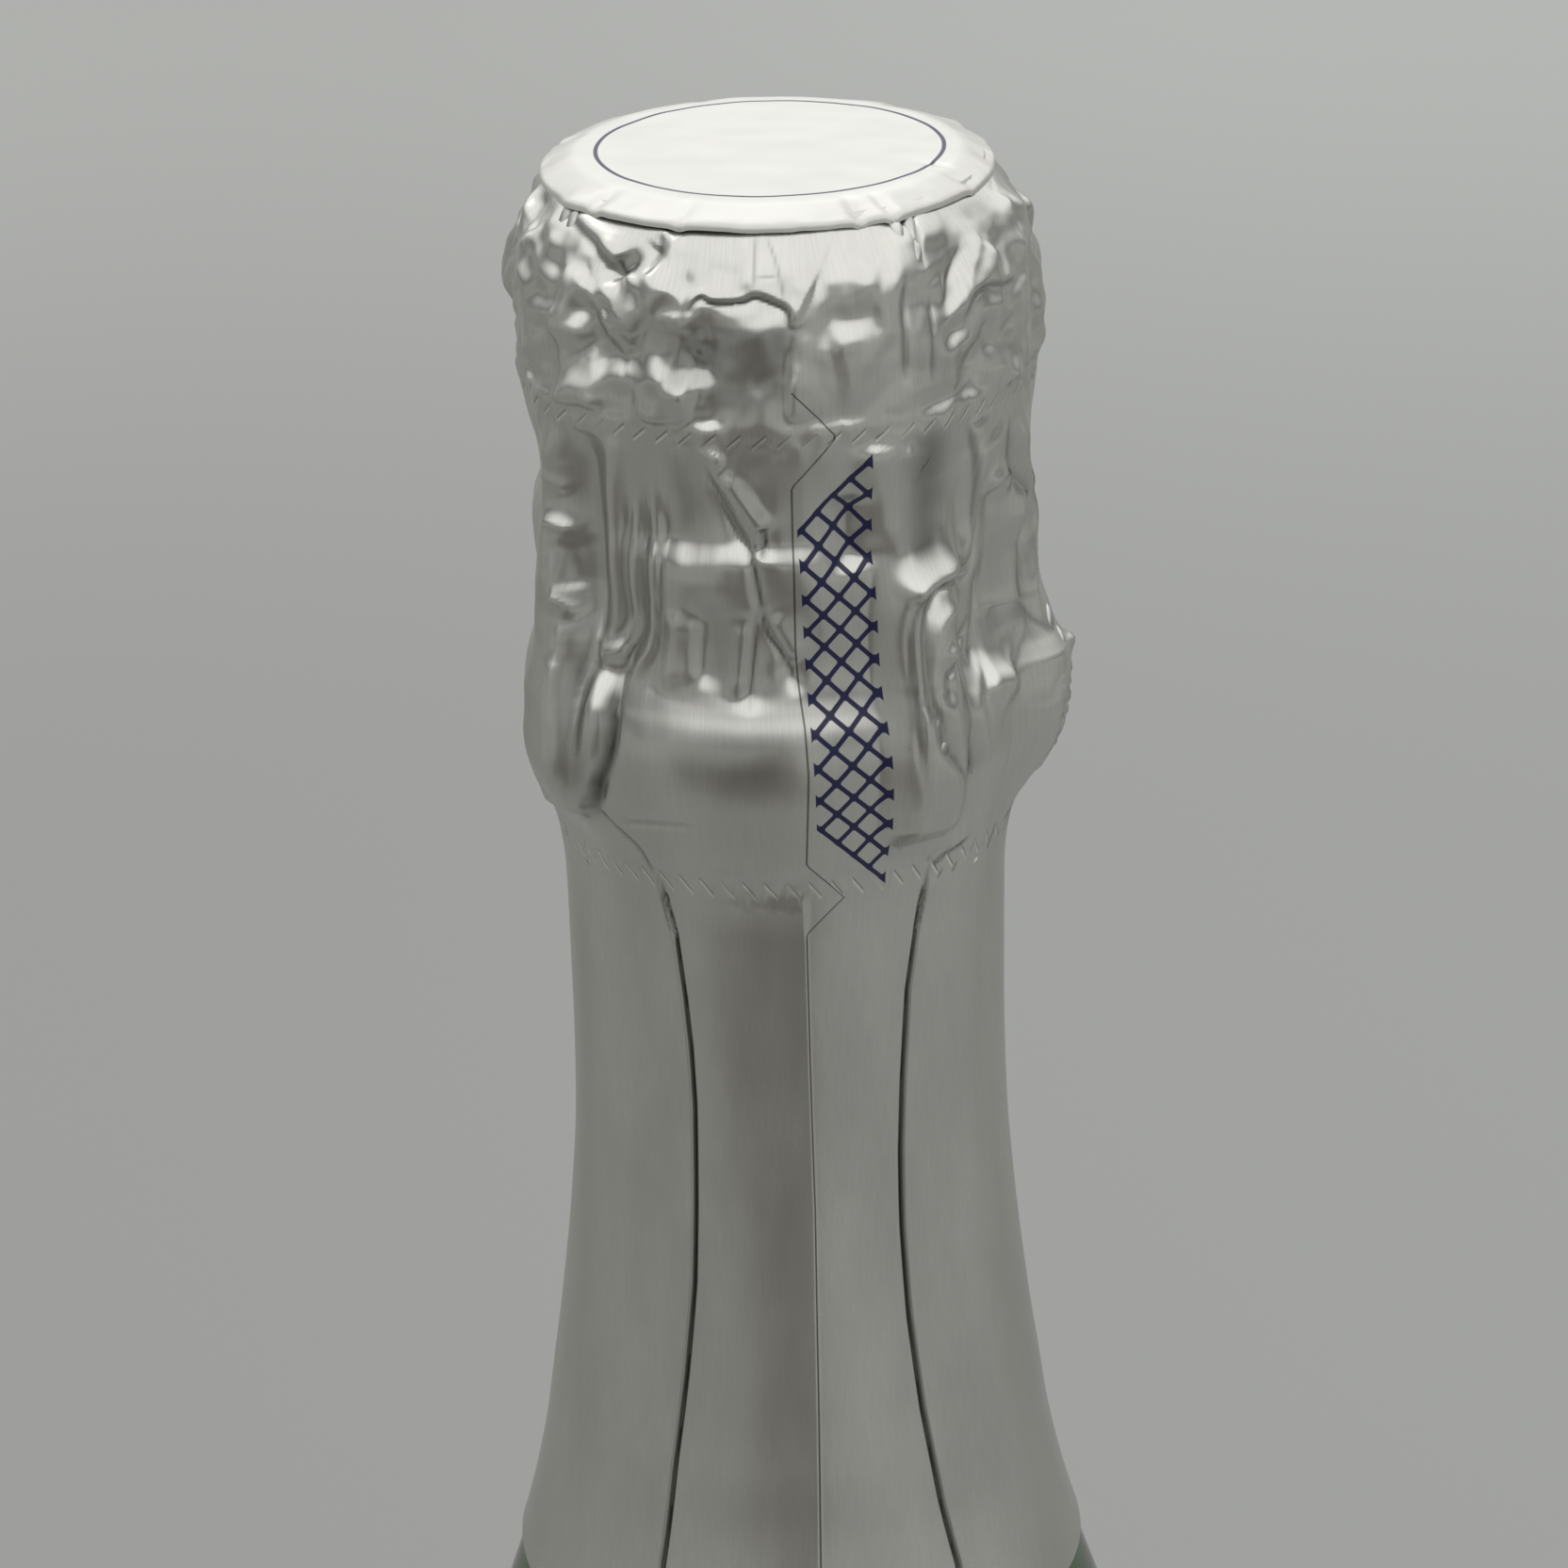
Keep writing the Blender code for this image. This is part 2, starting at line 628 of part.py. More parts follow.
def make_key(material, cutters, collection):
    """The key: a twisted stem bent up over the collar and a flat teardrop loop."""
    section = pair_section(BELT_WIRE_RADIUS, cutters)
    path = [around(radius, KEY_AZIMUTH, height) for radius, height in stem_outline()]
    route = evenly_spaced(path, TWIST_STEP)
    stem = twisted_pair("key_stem", route, section, 0, collection)
    stem.data.materials.append(material)
    smooth_shaded(stem)
    foot, top = loop_axis()
    side = around(1, KEY_AZIMUTH + 90, 0)
    outline = []
    for half, along in LOOP_SHARES:
        outline.append(foot.lerp(top, along) + side * half * LOOP_WIDTH / 2)
    for half, along in LOOP_SHARES[-2:0:-1]:
        outline.append(foot.lerp(top, along) - side * half * LOOP_WIDTH / 2)
    loop = round_wire("key_loop", outline, BELT_WIRE_RADIUS, collection, cyclic=True)
    loop.data.materials.append(material)
    smooth_shaded(loop)


# Foil


def bare_foil_outline():
    """The inside of the foil between the legs, from the top disc to its lower edge."""
    glass = shoulder_outline()
    over_collar = COLLAR_RADIUS + CONTACT_GAP
    over_belt = belt_radius(KEY_AZIMUTH) + BELT_WIRE_RADIUS + 1.2 * CONTACT_GAP
    disc_side = FOIL_DISC_RADIUS - FOIL_THICKNESS
    top_radius = disc_side - CONTACT_GAP - FOIL_THICKNESS
    outline = [
        (top_radius, CAP_FOIL_TOP),
        (top_radius, FOIL_TOP - FOIL_DISC_BRIM - CONTACT_GAP),
        ((top_radius + CAP_FOIL_RADIUS) / 2, CORK_TOP),
        (CAP_FOIL_RADIUS - CONTACT_GAP, CORK_TOP - PLAQUE_SKIRT),
        (CAP_FOIL_RADIUS, CORK_TOP - CORK_HEAD_HEIGHT / 3),
        ((CAP_FOIL_RADIUS + WAIST_FOIL_RADIUS) / 2, CORK_TOP - CORK_HEAD_HEIGHT * 2 / 3),
        (WAIST_FOIL_RADIUS, BOTTLE_HEIGHT),
        (WAIST_FOIL_RADIUS, BOTTLE_HEIGHT - BEAD_HEIGHT * 2 / 3),
        (over_collar - COLLAR_ROUND / 4, COLLAR_TOP + COLLAR_ROUND),
        (over_collar, COLLAR_TOP),
        (over_collar, COLLAR_BOTTOM + COLLAR_UNDER_ROUND),
        (over_belt, BELT_HEIGHT + BELT_WIRE_RADIUS),
        (over_belt, BELT_HEIGHT - BELT_WIRE_RADIUS - CONTACT_GAP),
        (NECK_RADIUS + 2 * CONTACT_GAP, BELT_HEIGHT - BELT_WIRE_RADIUS - BELT_DROP * 2),
        (NECK_RADIUS + CONTACT_GAP, LOWER_PERFORATION - BELT_DROP),
    ]
    for radius, height in glass[::2]:
        if FOIL_BOTTOM < height < LOWER_PERFORATION - 2 * BELT_DROP:
            outline.append((radius + CONTACT_GAP, height))
    outline.append((radius_at(glass, FOIL_BOTTOM) + CONTACT_GAP, FOIL_BOTTOM))
    return outline


def below_ridge(reach, round_radius, middle_radius, drop):
    """A ridge's radius under the eyelet or the key's foot: round it, then in at 45 degrees."""
    tangent = round_radius * math.sqrt(0.5)
    if drop < tangent:
        return middle_radius + math.sqrt(round_radius**2 - drop**2)
    return reach + round_radius * math.sqrt(2) - drop


def leg_ridge(height):
    """How far out the foil is held by a leg and its eyelet, at a height."""
    outline = leg_outline()[2:]
    round_radius = EYELET_REACH + CONTACT_GAP
    if height < BELT_HEIGHT:
        return below_ridge(BELT_LEG_RADIUS, round_radius, BELT_LEG_RADIUS, BELT_HEIGHT - height)
    if height > outline[0][1]:
        return 0
    return radius_at(outline, height) + PAIR_RADIUS + CONTACT_GAP


def key_ridge(height):
    """How far out the foil is held by the key's stem and loop, at a height."""
    stem = stem_outline()[::-1]
    reach = KEY_PAIR_RADIUS + CONTACT_GAP
    if height < BELT_HEIGHT:
        return KEY_HINGE_RADIUS + reach - (BELT_HEIGHT - height)
    if height <= stem[0][1]:
        return radius_at(stem, height) + reach
    foot, top = loop_axis()
    if height > top.z + BELT_WIRE_RADIUS + 2 * CONTACT_GAP:
        return 0
    return math.hypot(LOOP_RADIUS, LOOP_WIDTH / 2) + BELT_WIRE_RADIUS + CONTACT_GAP


def taut_radius(bare, ridge, away, half_width):
    """Radius of foil drawn taut from a ridge to the round it lies on, at an angle away from it."""
    if ridge <= bare:
        return bare
    spread = math.acos(bare / ridge)
    away = max(0, math.radians(away) - half_width / ridge)
    return bare if away >= spread else bare / math.cos(spread - away)


def angle_between(azimuth, other):
    return abs((azimuth - other + 180) % 360 - 180)


def foil_radius(bare, azimuth, height):
    """The inside radius of the foil over everything that it covers."""
    radius = bare
    for leg in leg_azimuths():
        away = angle_between(azimuth, leg)
        radius = max(radius, taut_radius(bare, leg_ridge(height), away, CAGE_WIRE_RADIUS))
    away = angle_between(azimuth, KEY_AZIMUTH)
    over_loop = height > BELT_HEIGHT + STEM_LENGTH
    half_width = LOOP_WIDTH / 2 if over_loop else BELT_WIRE_RADIUS
    return max(radius, taut_radius(bare, key_ridge(height), away, half_width))


def foil_levels(top, bottom, spacing):
    """Heights of a foil piece's rows, at the outline's own heights and at most a spacing apart."""
    marks = [height for radius, height in bare_foil_outline() if bottom < height < top]
    marks = [top, *marks, bottom]
    levels = [top]
    for upper, lower in zip(marks, marks[1:]):
        pieces = max(1, round((upper - lower) / spacing))
        levels += [upper + (lower - upper) * step / pieces for step in range(1, pieces + 1)]
    return levels


def make_foil(name, top, bottom, spacing, material, collection):
    """A band of the foil: a turned sheet drawn out over the wires, then given its thickness."""
    bare = bare_foil_outline()
    outline = [(radius_at(bare, height), height) for height in foil_levels(top, bottom, spacing)]
    item = place(name, profile_mesh(name, outline, FIRST_LEG_AZIMUTH), material, collection)
    add_screw(item, FOIL_STEPS)
    mesh = evaluated_mesh(item)
    item.modifiers.clear()
    item.data = mesh
    item.data.materials.clear()
    item.data.materials.append(material)
    for vertex in item.data.vertices:
        height = vertex.co.z
        azimuth = azimuth_of(vertex.co)
        vertex.co = around(foil_radius(radius_at(bare, height), azimuth, height), azimuth, height)
    smooth_shaded(item)
    add_thickness(item, FOIL_THICKNESS)
    return item


def make_foil_disc(material, collection):
    """The stiff top disc, its brim folded down round the foil's upper edge."""
    inner = FOIL_DISC_RADIUS - FOIL_THICKNESS
    corner = FOIL_THICKNESS
    outline = [(0, FOIL_DISC_HEIGHT)]
    outline += arc(inner - corner, FOIL_DISC_HEIGHT - corner, corner, 90, 0, 2)
    outline.append((inner, FOIL_TOP - FOIL_DISC_BRIM))
    item = turned("foil_top_disc", outline, FOIL_STEPS, material, collection)
    add_thickness(item, FOIL_THICKNESS)
    return item


def main():
    clear_scene()
    parts = new_collection("sparkling_wine_bottle")
    cutters = new_collection("guides")
    finishes = {name: new_material(name) for name in FINISHES}
    make_glass(finishes["bottle_glass"], parts)
    make_cork(finishes["agglomerated_cork"], finishes["natural_cork"], parts)
    make_plaque(finishes["plaque"], parts)
    make_cage(finishes["muselet_wire"], cutters, parts)
    make_belt(finishes["muselet_wire"], cutters, parts)
    make_key(finishes["muselet_wire"], cutters, parts)
    half_gap = PERFORATION_GAP / 2
    bands = (
        ("foil_cap_skirt", CAP_FOIL_TOP, UPPER_PERFORATION + half_gap, 0.25 * CORK_HEAD_HEIGHT),
        ("foil_tear_band", UPPER_PERFORATION - half_gap, LOWER_PERFORATION + half_gap, COLLAR_HEIGHT / 2),
        ("foil_neck_sleeve", LOWER_PERFORATION - half_gap, FOIL_BOTTOM, COLLAR_HEIGHT),
    )
    for name, top, bottom, spacing in bands:
        make_foil(name, top, bottom, spacing, finishes["neck_foil"], parts)
    make_foil_disc(finishes["top_disc"], parts)


main()
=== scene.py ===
"""Looks of a sealed sparkling wine bottle: glass, wine, cork, wire cage, foil hood and a plain stage.

Lengths are in metres, apart from the foil's relief, which is worked out in millimetres on the unrolled
sheet: across it, from the front to the right, and down its outline, from the top disc. Azimuths are in
degrees from the front (-Y) towards the right (+X).
"""

import math

import bpy
import numpy as np
from mathutils import Matrix, Vector, noise


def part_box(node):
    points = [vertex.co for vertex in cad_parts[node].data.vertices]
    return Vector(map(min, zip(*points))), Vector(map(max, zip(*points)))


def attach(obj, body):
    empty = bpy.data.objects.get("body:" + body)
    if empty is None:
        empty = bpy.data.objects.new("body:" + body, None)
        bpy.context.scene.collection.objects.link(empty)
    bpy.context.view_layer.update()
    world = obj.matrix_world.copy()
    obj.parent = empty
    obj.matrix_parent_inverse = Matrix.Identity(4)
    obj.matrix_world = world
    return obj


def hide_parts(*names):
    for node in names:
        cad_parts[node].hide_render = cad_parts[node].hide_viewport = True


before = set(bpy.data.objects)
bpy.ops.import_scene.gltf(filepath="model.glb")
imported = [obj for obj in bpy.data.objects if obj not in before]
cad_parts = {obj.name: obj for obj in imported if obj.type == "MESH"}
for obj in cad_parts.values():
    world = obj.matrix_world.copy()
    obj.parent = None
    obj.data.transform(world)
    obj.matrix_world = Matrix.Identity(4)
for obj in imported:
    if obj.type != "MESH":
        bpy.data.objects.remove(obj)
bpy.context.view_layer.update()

bl_info = {
    "name": "Sparkling wine bottle",
    "version": (1, 0, 0),
    "blender": (4, 5, 0),
    "location": "View3D > Sidebar > Bottle",
    "description": "Builds the glass, cork, wire cage and creased foil hood of a sealed bottle",
    "category": "Object",
}

MM = 0.001
GLASS_LOW, GLASS_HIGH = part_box("glass_bottle")
HOOD_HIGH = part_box("foil_top_disc")[1]
SLEEVE_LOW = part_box("foil_neck_sleeve")[0]
CORK_LOW, CORK_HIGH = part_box("cork_body")
MERGE = 0.002 * MM

# Camera, as the photograph was taken: its place and sensor in millimetres, its turns in degrees
CAMERA_PLACE = (0.0, -300.0, 406.9)
CAMERA_TILT = 23.6
CAMERA_ROLL = -1.29
PHOTO_SIZE = 1664
FOCAL_PIXELS = 4877.0
SENSOR_WIDTH = 36.0

# The legs of the wire cage and its key, round the neck
LEG_AZIMUTHS = (-57.0, 33.0, 123.0, 213.0)
KEY_AZIMUTH = 78.0

# Radius on which the hood is unrolled, and its outline as (height, radius), in millimetres
UNROLL_RADIUS = 17.5
HOOD_OUTLINE = (
    (321.9, 14.4), (321.4, 14.75), (320.9, 15.2), (320.0, 15.95), (319.0, 16.65), (317.8, 17.3),
    (316.4, 17.75), (314.8, 17.98), (312.5, 18.05), (309.4, 18.0), (306.5, 17.7), (304.0, 17.25),
    (301.6, 16.95), (299.4, 16.92), (297.4, 16.9), (295.4, 16.8), (293.2, 16.7), (291.3, 16.72),
    (289.7, 16.92), (288.3, 17.3), (287.0, 17.72), (285.7, 18.0), (284.2, 18.1), (282.4, 17.95),
    (280.0, 17.45), (277.0, 16.8), (274.6, 16.2), (272.4, 15.85), (270.0, 15.7), (264.0, 15.66),
    (258.0, 15.66), (252.0, 15.8), (247.9, 16.02), (241.0, 16.65), (234.0, 17.52), (229.0, 18.27),
    (224.0, 19.02), (219.0, 20.08), (214.1, 21.4), (213.0, 21.72),
)
UPPER_TEAR = 307.9
LOWER_TEAR = 275.1


# Small numerical helpers


def smooth_line(points, pieces):
    """A Catmull-Rom curve through points, with so many pieces between two."""
    points = np.asarray(points, float)
    padded = np.vstack([2 * points[0] - points[1], points, 2 * points[-1] - points[-2]])
    curve = []
    for index in range(len(points) - 1):
        before, start, end, after = padded[index:index + 4]
        for t in np.arange(pieces) / pieces:
            curve.append((2 * start + (end - before) * t + (2 * before - 5 * start + 4 * end - after) * t**2
                          + (3 * start - before - 3 * end + after) * t**3) / 2)
    return np.array([*curve, points[-1]])


def eased(value, low, high):
    """0 at low, 1 at high and smooth between."""
    share = np.clip((value - low) / (high - low), 0, 1)
    return share * share * (3 - 2 * share)


def bell(value, width):
    return np.exp(-(value / width) ** 2)


def around(radius, azimuth, height):
    angle = math.radians(azimuth)
    return Vector((radius * math.sin(angle), -radius * math.cos(angle), height))


def turn_between(azimuth, other):
    return (azimuth - other + 180) % 360 - 180


# The hood's outline, by the length down it

OUTLINE = smooth_line(HOOD_OUTLINE, 10)
DOWN = np.concatenate([[0], np.cumsum(np.hypot(*np.diff(OUTLINE, axis=0).T))])


def height_at(down):
    return np.interp(down, DOWN, OUTLINE[:, 0])


def radius_at(down):
    return np.interp(down, DOWN, OUTLINE[:, 1])


def down_at(height):
    return np.interp(-np.asarray(height, float), -OUTLINE[:, 0], DOWN)


# How far the legs and the key hold the foil out, in millimetres, as (height, reach)

LEG_REACH = ((321.4, 0.1), (320.7, 0.4), (320.0, 0.55), (318.0, 0.4), (310.0, 0.25), (304.0, 0.7),
             (299.0, 1.4), (295.0, 2.05), (292.0, 2.5), (290.0, 2.65), (288.3, 2.5), (287.0, 2.25),
             (285.7, 2.1), (284.0, 2.0), (281.0, 1.9), (279.2, 1.7), (277.8, 0.5), (276.6, 0.0))
KEY_REACH = ((312.0, 0.0), (305.0, 0.25), (300.0, 0.6), (296.0, 0.9), (292.5, 1.55), (290.8, 2.0),
             (289.0, 2.3), (287.6, 2.8), (286.4, 2.5), (284.6, 2.3), (282.0, 2.2), (280.0, 1.9),
             (278.6, 1.1), (277.0, 0.4), (275.4, 0.0))
# Where a tent is at its full height, and where it ends, in degrees from the wire
LEG_TENT = (3.2, 13.0)
KEY_TENT = (2.5, 17.0)
KEY_TENT_HIGH = 24.0
KEY_TENT_WIDENS = 292.0
WAIST_AZIMUTH, WAIST_HEIGHT, WAIST_DEPTH = -97.0, 302.0, 0.75


def reach_of(table, height):
    heights, reaches = np.array(table).T
    return np.interp(-height, -heights, reaches)


def tent(azimuth, height):
    """How far the wires under the foil hold it out, in millimetres."""
    out = np.zeros(np.broadcast(azimuth, height).shape)
    for leg in LEG_AZIMUTHS:
        away = np.abs(turn_between(azimuth, leg))
        out = np.maximum(out, reach_of(LEG_REACH, height) * (1 - eased(away, *LEG_TENT)))
    away = np.abs(turn_between(azimuth, KEY_AZIMUTH))
    spread = np.where(height > KEY_TENT_WIDENS, KEY_TENT_HIGH, KEY_TENT[1])
    out = np.maximum(out, reach_of(KEY_REACH, height) * (1 - eased(away, KEY_TENT[0], spread)))
    # The foil is drawn in at the waist between the two left legs
    waist = bell(turn_between(azimuth, WAIST_AZIMUTH), 30.0) * bell(height - WAIST_HEIGHT, 6.5)
    return out - WAIST_DEPTH * waist


# What the camera sees


def camera_axes():
    tilt, roll = math.radians(CAMERA_TILT), math.radians(CAMERA_ROLL)
    forward = np.array((0, math.cos(tilt), -math.sin(tilt)))
    level, upright = np.array((1.0, 0, 0)), np.array((0, math.sin(tilt), math.cos(tilt)))
    right = level * math.cos(roll) + upright * math.sin(roll)
    above = upright * math.cos(roll) - level * math.sin(roll)
    return right, above, forward


def on_hood(pixels):
    """Where the photograph's pixels lie on the unrolled hood, as (across, down) in millimetres."""
    right, above, forward = camera_axes()
    pixels = np.asarray(pixels, float)
    middle = PHOTO_SIZE / 2
    rays = (forward + right * ((pixels[:, :1] - middle) / FOCAL_PIXELS)
            + above * ((middle - pixels[:, 1:]) / FOCAL_PIXELS))
    start = np.array(CAMERA_PLACE)
    radius = np.full(len(pixels), UNROLL_RADIUS)
    for _ in range(20):
        a = (rays[:, :2] ** 2).sum(1)
        b = 2 * (rays[:, :2] @ start[:2])
        c = (start[:2] ** 2).sum() - radius**2
        reach = (-b - np.sqrt(np.maximum(b * b - 4 * a * c, 0))) / (2 * a)
        spots = start + rays * reach[:, None]
        azimuth = np.degrees(np.arctan2(spots[:, 0], -spots[:, 1]))
        radius = 0.5 * radius + 0.5 * (radius_at(down_at(spots[:, 2])) + tent(azimuth, spots[:, 2]))
    return np.stack([np.radians(azimuth) * UNROLL_RADIUS, down_at(spots[:, 2])], axis=1)


# Folds of the foil, traced on the photograph. Each is (kind, half width and height in millimetres,
# darkness of the shade painted along it, pixels along it). A ridge or valley is a crease, a swell or trough
# is a soft wave, and a lap is a step that is raised on the left of its direction. The painted shade darkens
# valleys, troughs and the low side of laps. On broad troughs it also stands for dark reflections, and a
# trough of no height is only painted shade.

CAP_FOLDS = (
    # The first two troughs have no height: they only paint shade at the pocket's left edge and foot
    ("trough", 1.0, 0.0, 0.36, ((720, 346), (718, 385), (724, 418))),
    ("trough", 0.9, 0.0, 0.42, ((738, 424), (775, 418), (828, 422))),
    ("ridge", 0.40, 0.30, 0.0, ((574, 190), (562, 221), (569, 265))),
    ("ridge", 0.42, 0.34, 0.0, ((611, 212), (632, 245), (654, 278), (666, 294), (683, 314), (692, 343))),
    ("valley", 0.30, 0.22, 0.5, ((603, 214), (622, 250), (645, 282), (662, 302))),
    ("valley", 0.45, 0.38, 0.9, ((655, 272), (660, 292))),
    ("ridge", 0.30, 0.22, 0.0, ((711, 245), (702, 256), (695, 265))),
    ("ridge", 0.36, 0.32, 0.0, ((724, 247), (707, 274), (689, 298), (683, 314))),
    ("valley", 0.26, 0.22, 0.7, ((706, 246), (698, 272), (686, 296))),
    ("ridge", 0.32, 0.16, 0.0, ((692, 343), (707, 337), (720, 341))),
    ("lap", 0.10, 0.34, 0.8, ((722, 343), (732, 325), (744, 315), (756, 321), (785, 321), (801, 315),
                              (818, 320), (836, 330), (841, 349), (862, 342))),
    ("valley", 0.20, 0.14, 0.4, ((839, 349), (840, 380), (838, 412))),
    ("valley", 0.40, 0.20, 0.2, ((727, 350), (724, 385), (731, 415))),
    ("ridge", 0.90, 0.40, 0.0, ((590, 300), (610, 312), (628, 300))),
    ("ridge", 1.00, 0.44, 0.0, ((582, 345), (606, 352), (622, 372))),
    ("valley", 0.80, 0.34, 0.1, ((600, 322), (630, 332), (645, 318))),
    ("ridge", 0.80, 0.40, 0.0, ((640, 360), (662, 350), (680, 362))),
    ("valley", 0.80, 0.36, 0.2, ((625, 392), (655, 384), (690, 398))),
    ("ridge", 0.80, 0.36, 0.0, ((596, 402), (612, 420), (640, 428))),
    ("ridge", 0.70, 0.30, 0.0, ((868, 300), (900, 296), (934, 306))),
    ("valley", 0.80, 0.26, 0.1, ((870, 330), (904, 338), (940, 328))),
    ("ridge", 0.90, 0.34, 0.0, ((880, 372), (912, 364), (944, 374))),
    ("ridge", 0.50, 0.34, 0.0, ((1018, 352), (1012, 385), (1016, 420))),
    ("ridge", 0.90, 0.38, 0.0, ((1046, 338), (1068, 330), (1092, 336))),
    ("valley", 0.60, 0.34, 0.2, ((1036, 372), (1060, 366), (1090, 374))),
    ("ridge", 0.80, 0.36, 0.0, ((1034, 396), (1056, 390), (1082, 400))),
    ("lap", 0.07, 0.10, 0.4, ((799, 312), (800, 296), (802, 247))),
    ("lap", 0.07, 0.10, 0.4, ((813, 249), (824, 280), (834, 327))),
    ("lap", 0.07, 0.07, 0.4, ((826, 294), (800, 297))),
    ("ridge", 0.40, 0.32, 0.0, ((956, 231), (975, 247), (981, 274), (991, 298))),
    ("valley", 0.24, 0.26, 0.8, ((967, 226), (968, 240), (975, 262), (984, 292))),
    ("valley", 0.24, 0.26, 0.6, ((962, 282), (960, 314), (961, 362), (962, 412))),
    ("valley", 0.20, 0.18, 0.5, ((991, 306), (991, 360), (992, 414))),
    ("valley", 0.95, 0.14, 0.1, ((976, 300), (976, 360), (977, 415))),
    ("ridge", 0.28, 0.26, 0.0, ((1056, 206), (1071, 233), (1083, 263), (1085, 290))),
    ("lap", 0.12, 0.20, 0.6, ((1022, 352), (1030, 314), (1044, 302), (1062, 300), (1084, 293))),
    ("valley", 0.24, 0.18, 0.5, ((1026, 254), (1015, 278), (1009, 314), (1007, 345))),
    ("ridge", 0.34, 0.26, 0.0, ((1036, 245), (1032, 284), (1018, 325), (1009, 347))),
    ("ridge", 0.60, 0.18, 0.0, ((1044, 196), (1060, 214), (1090, 228))),
)
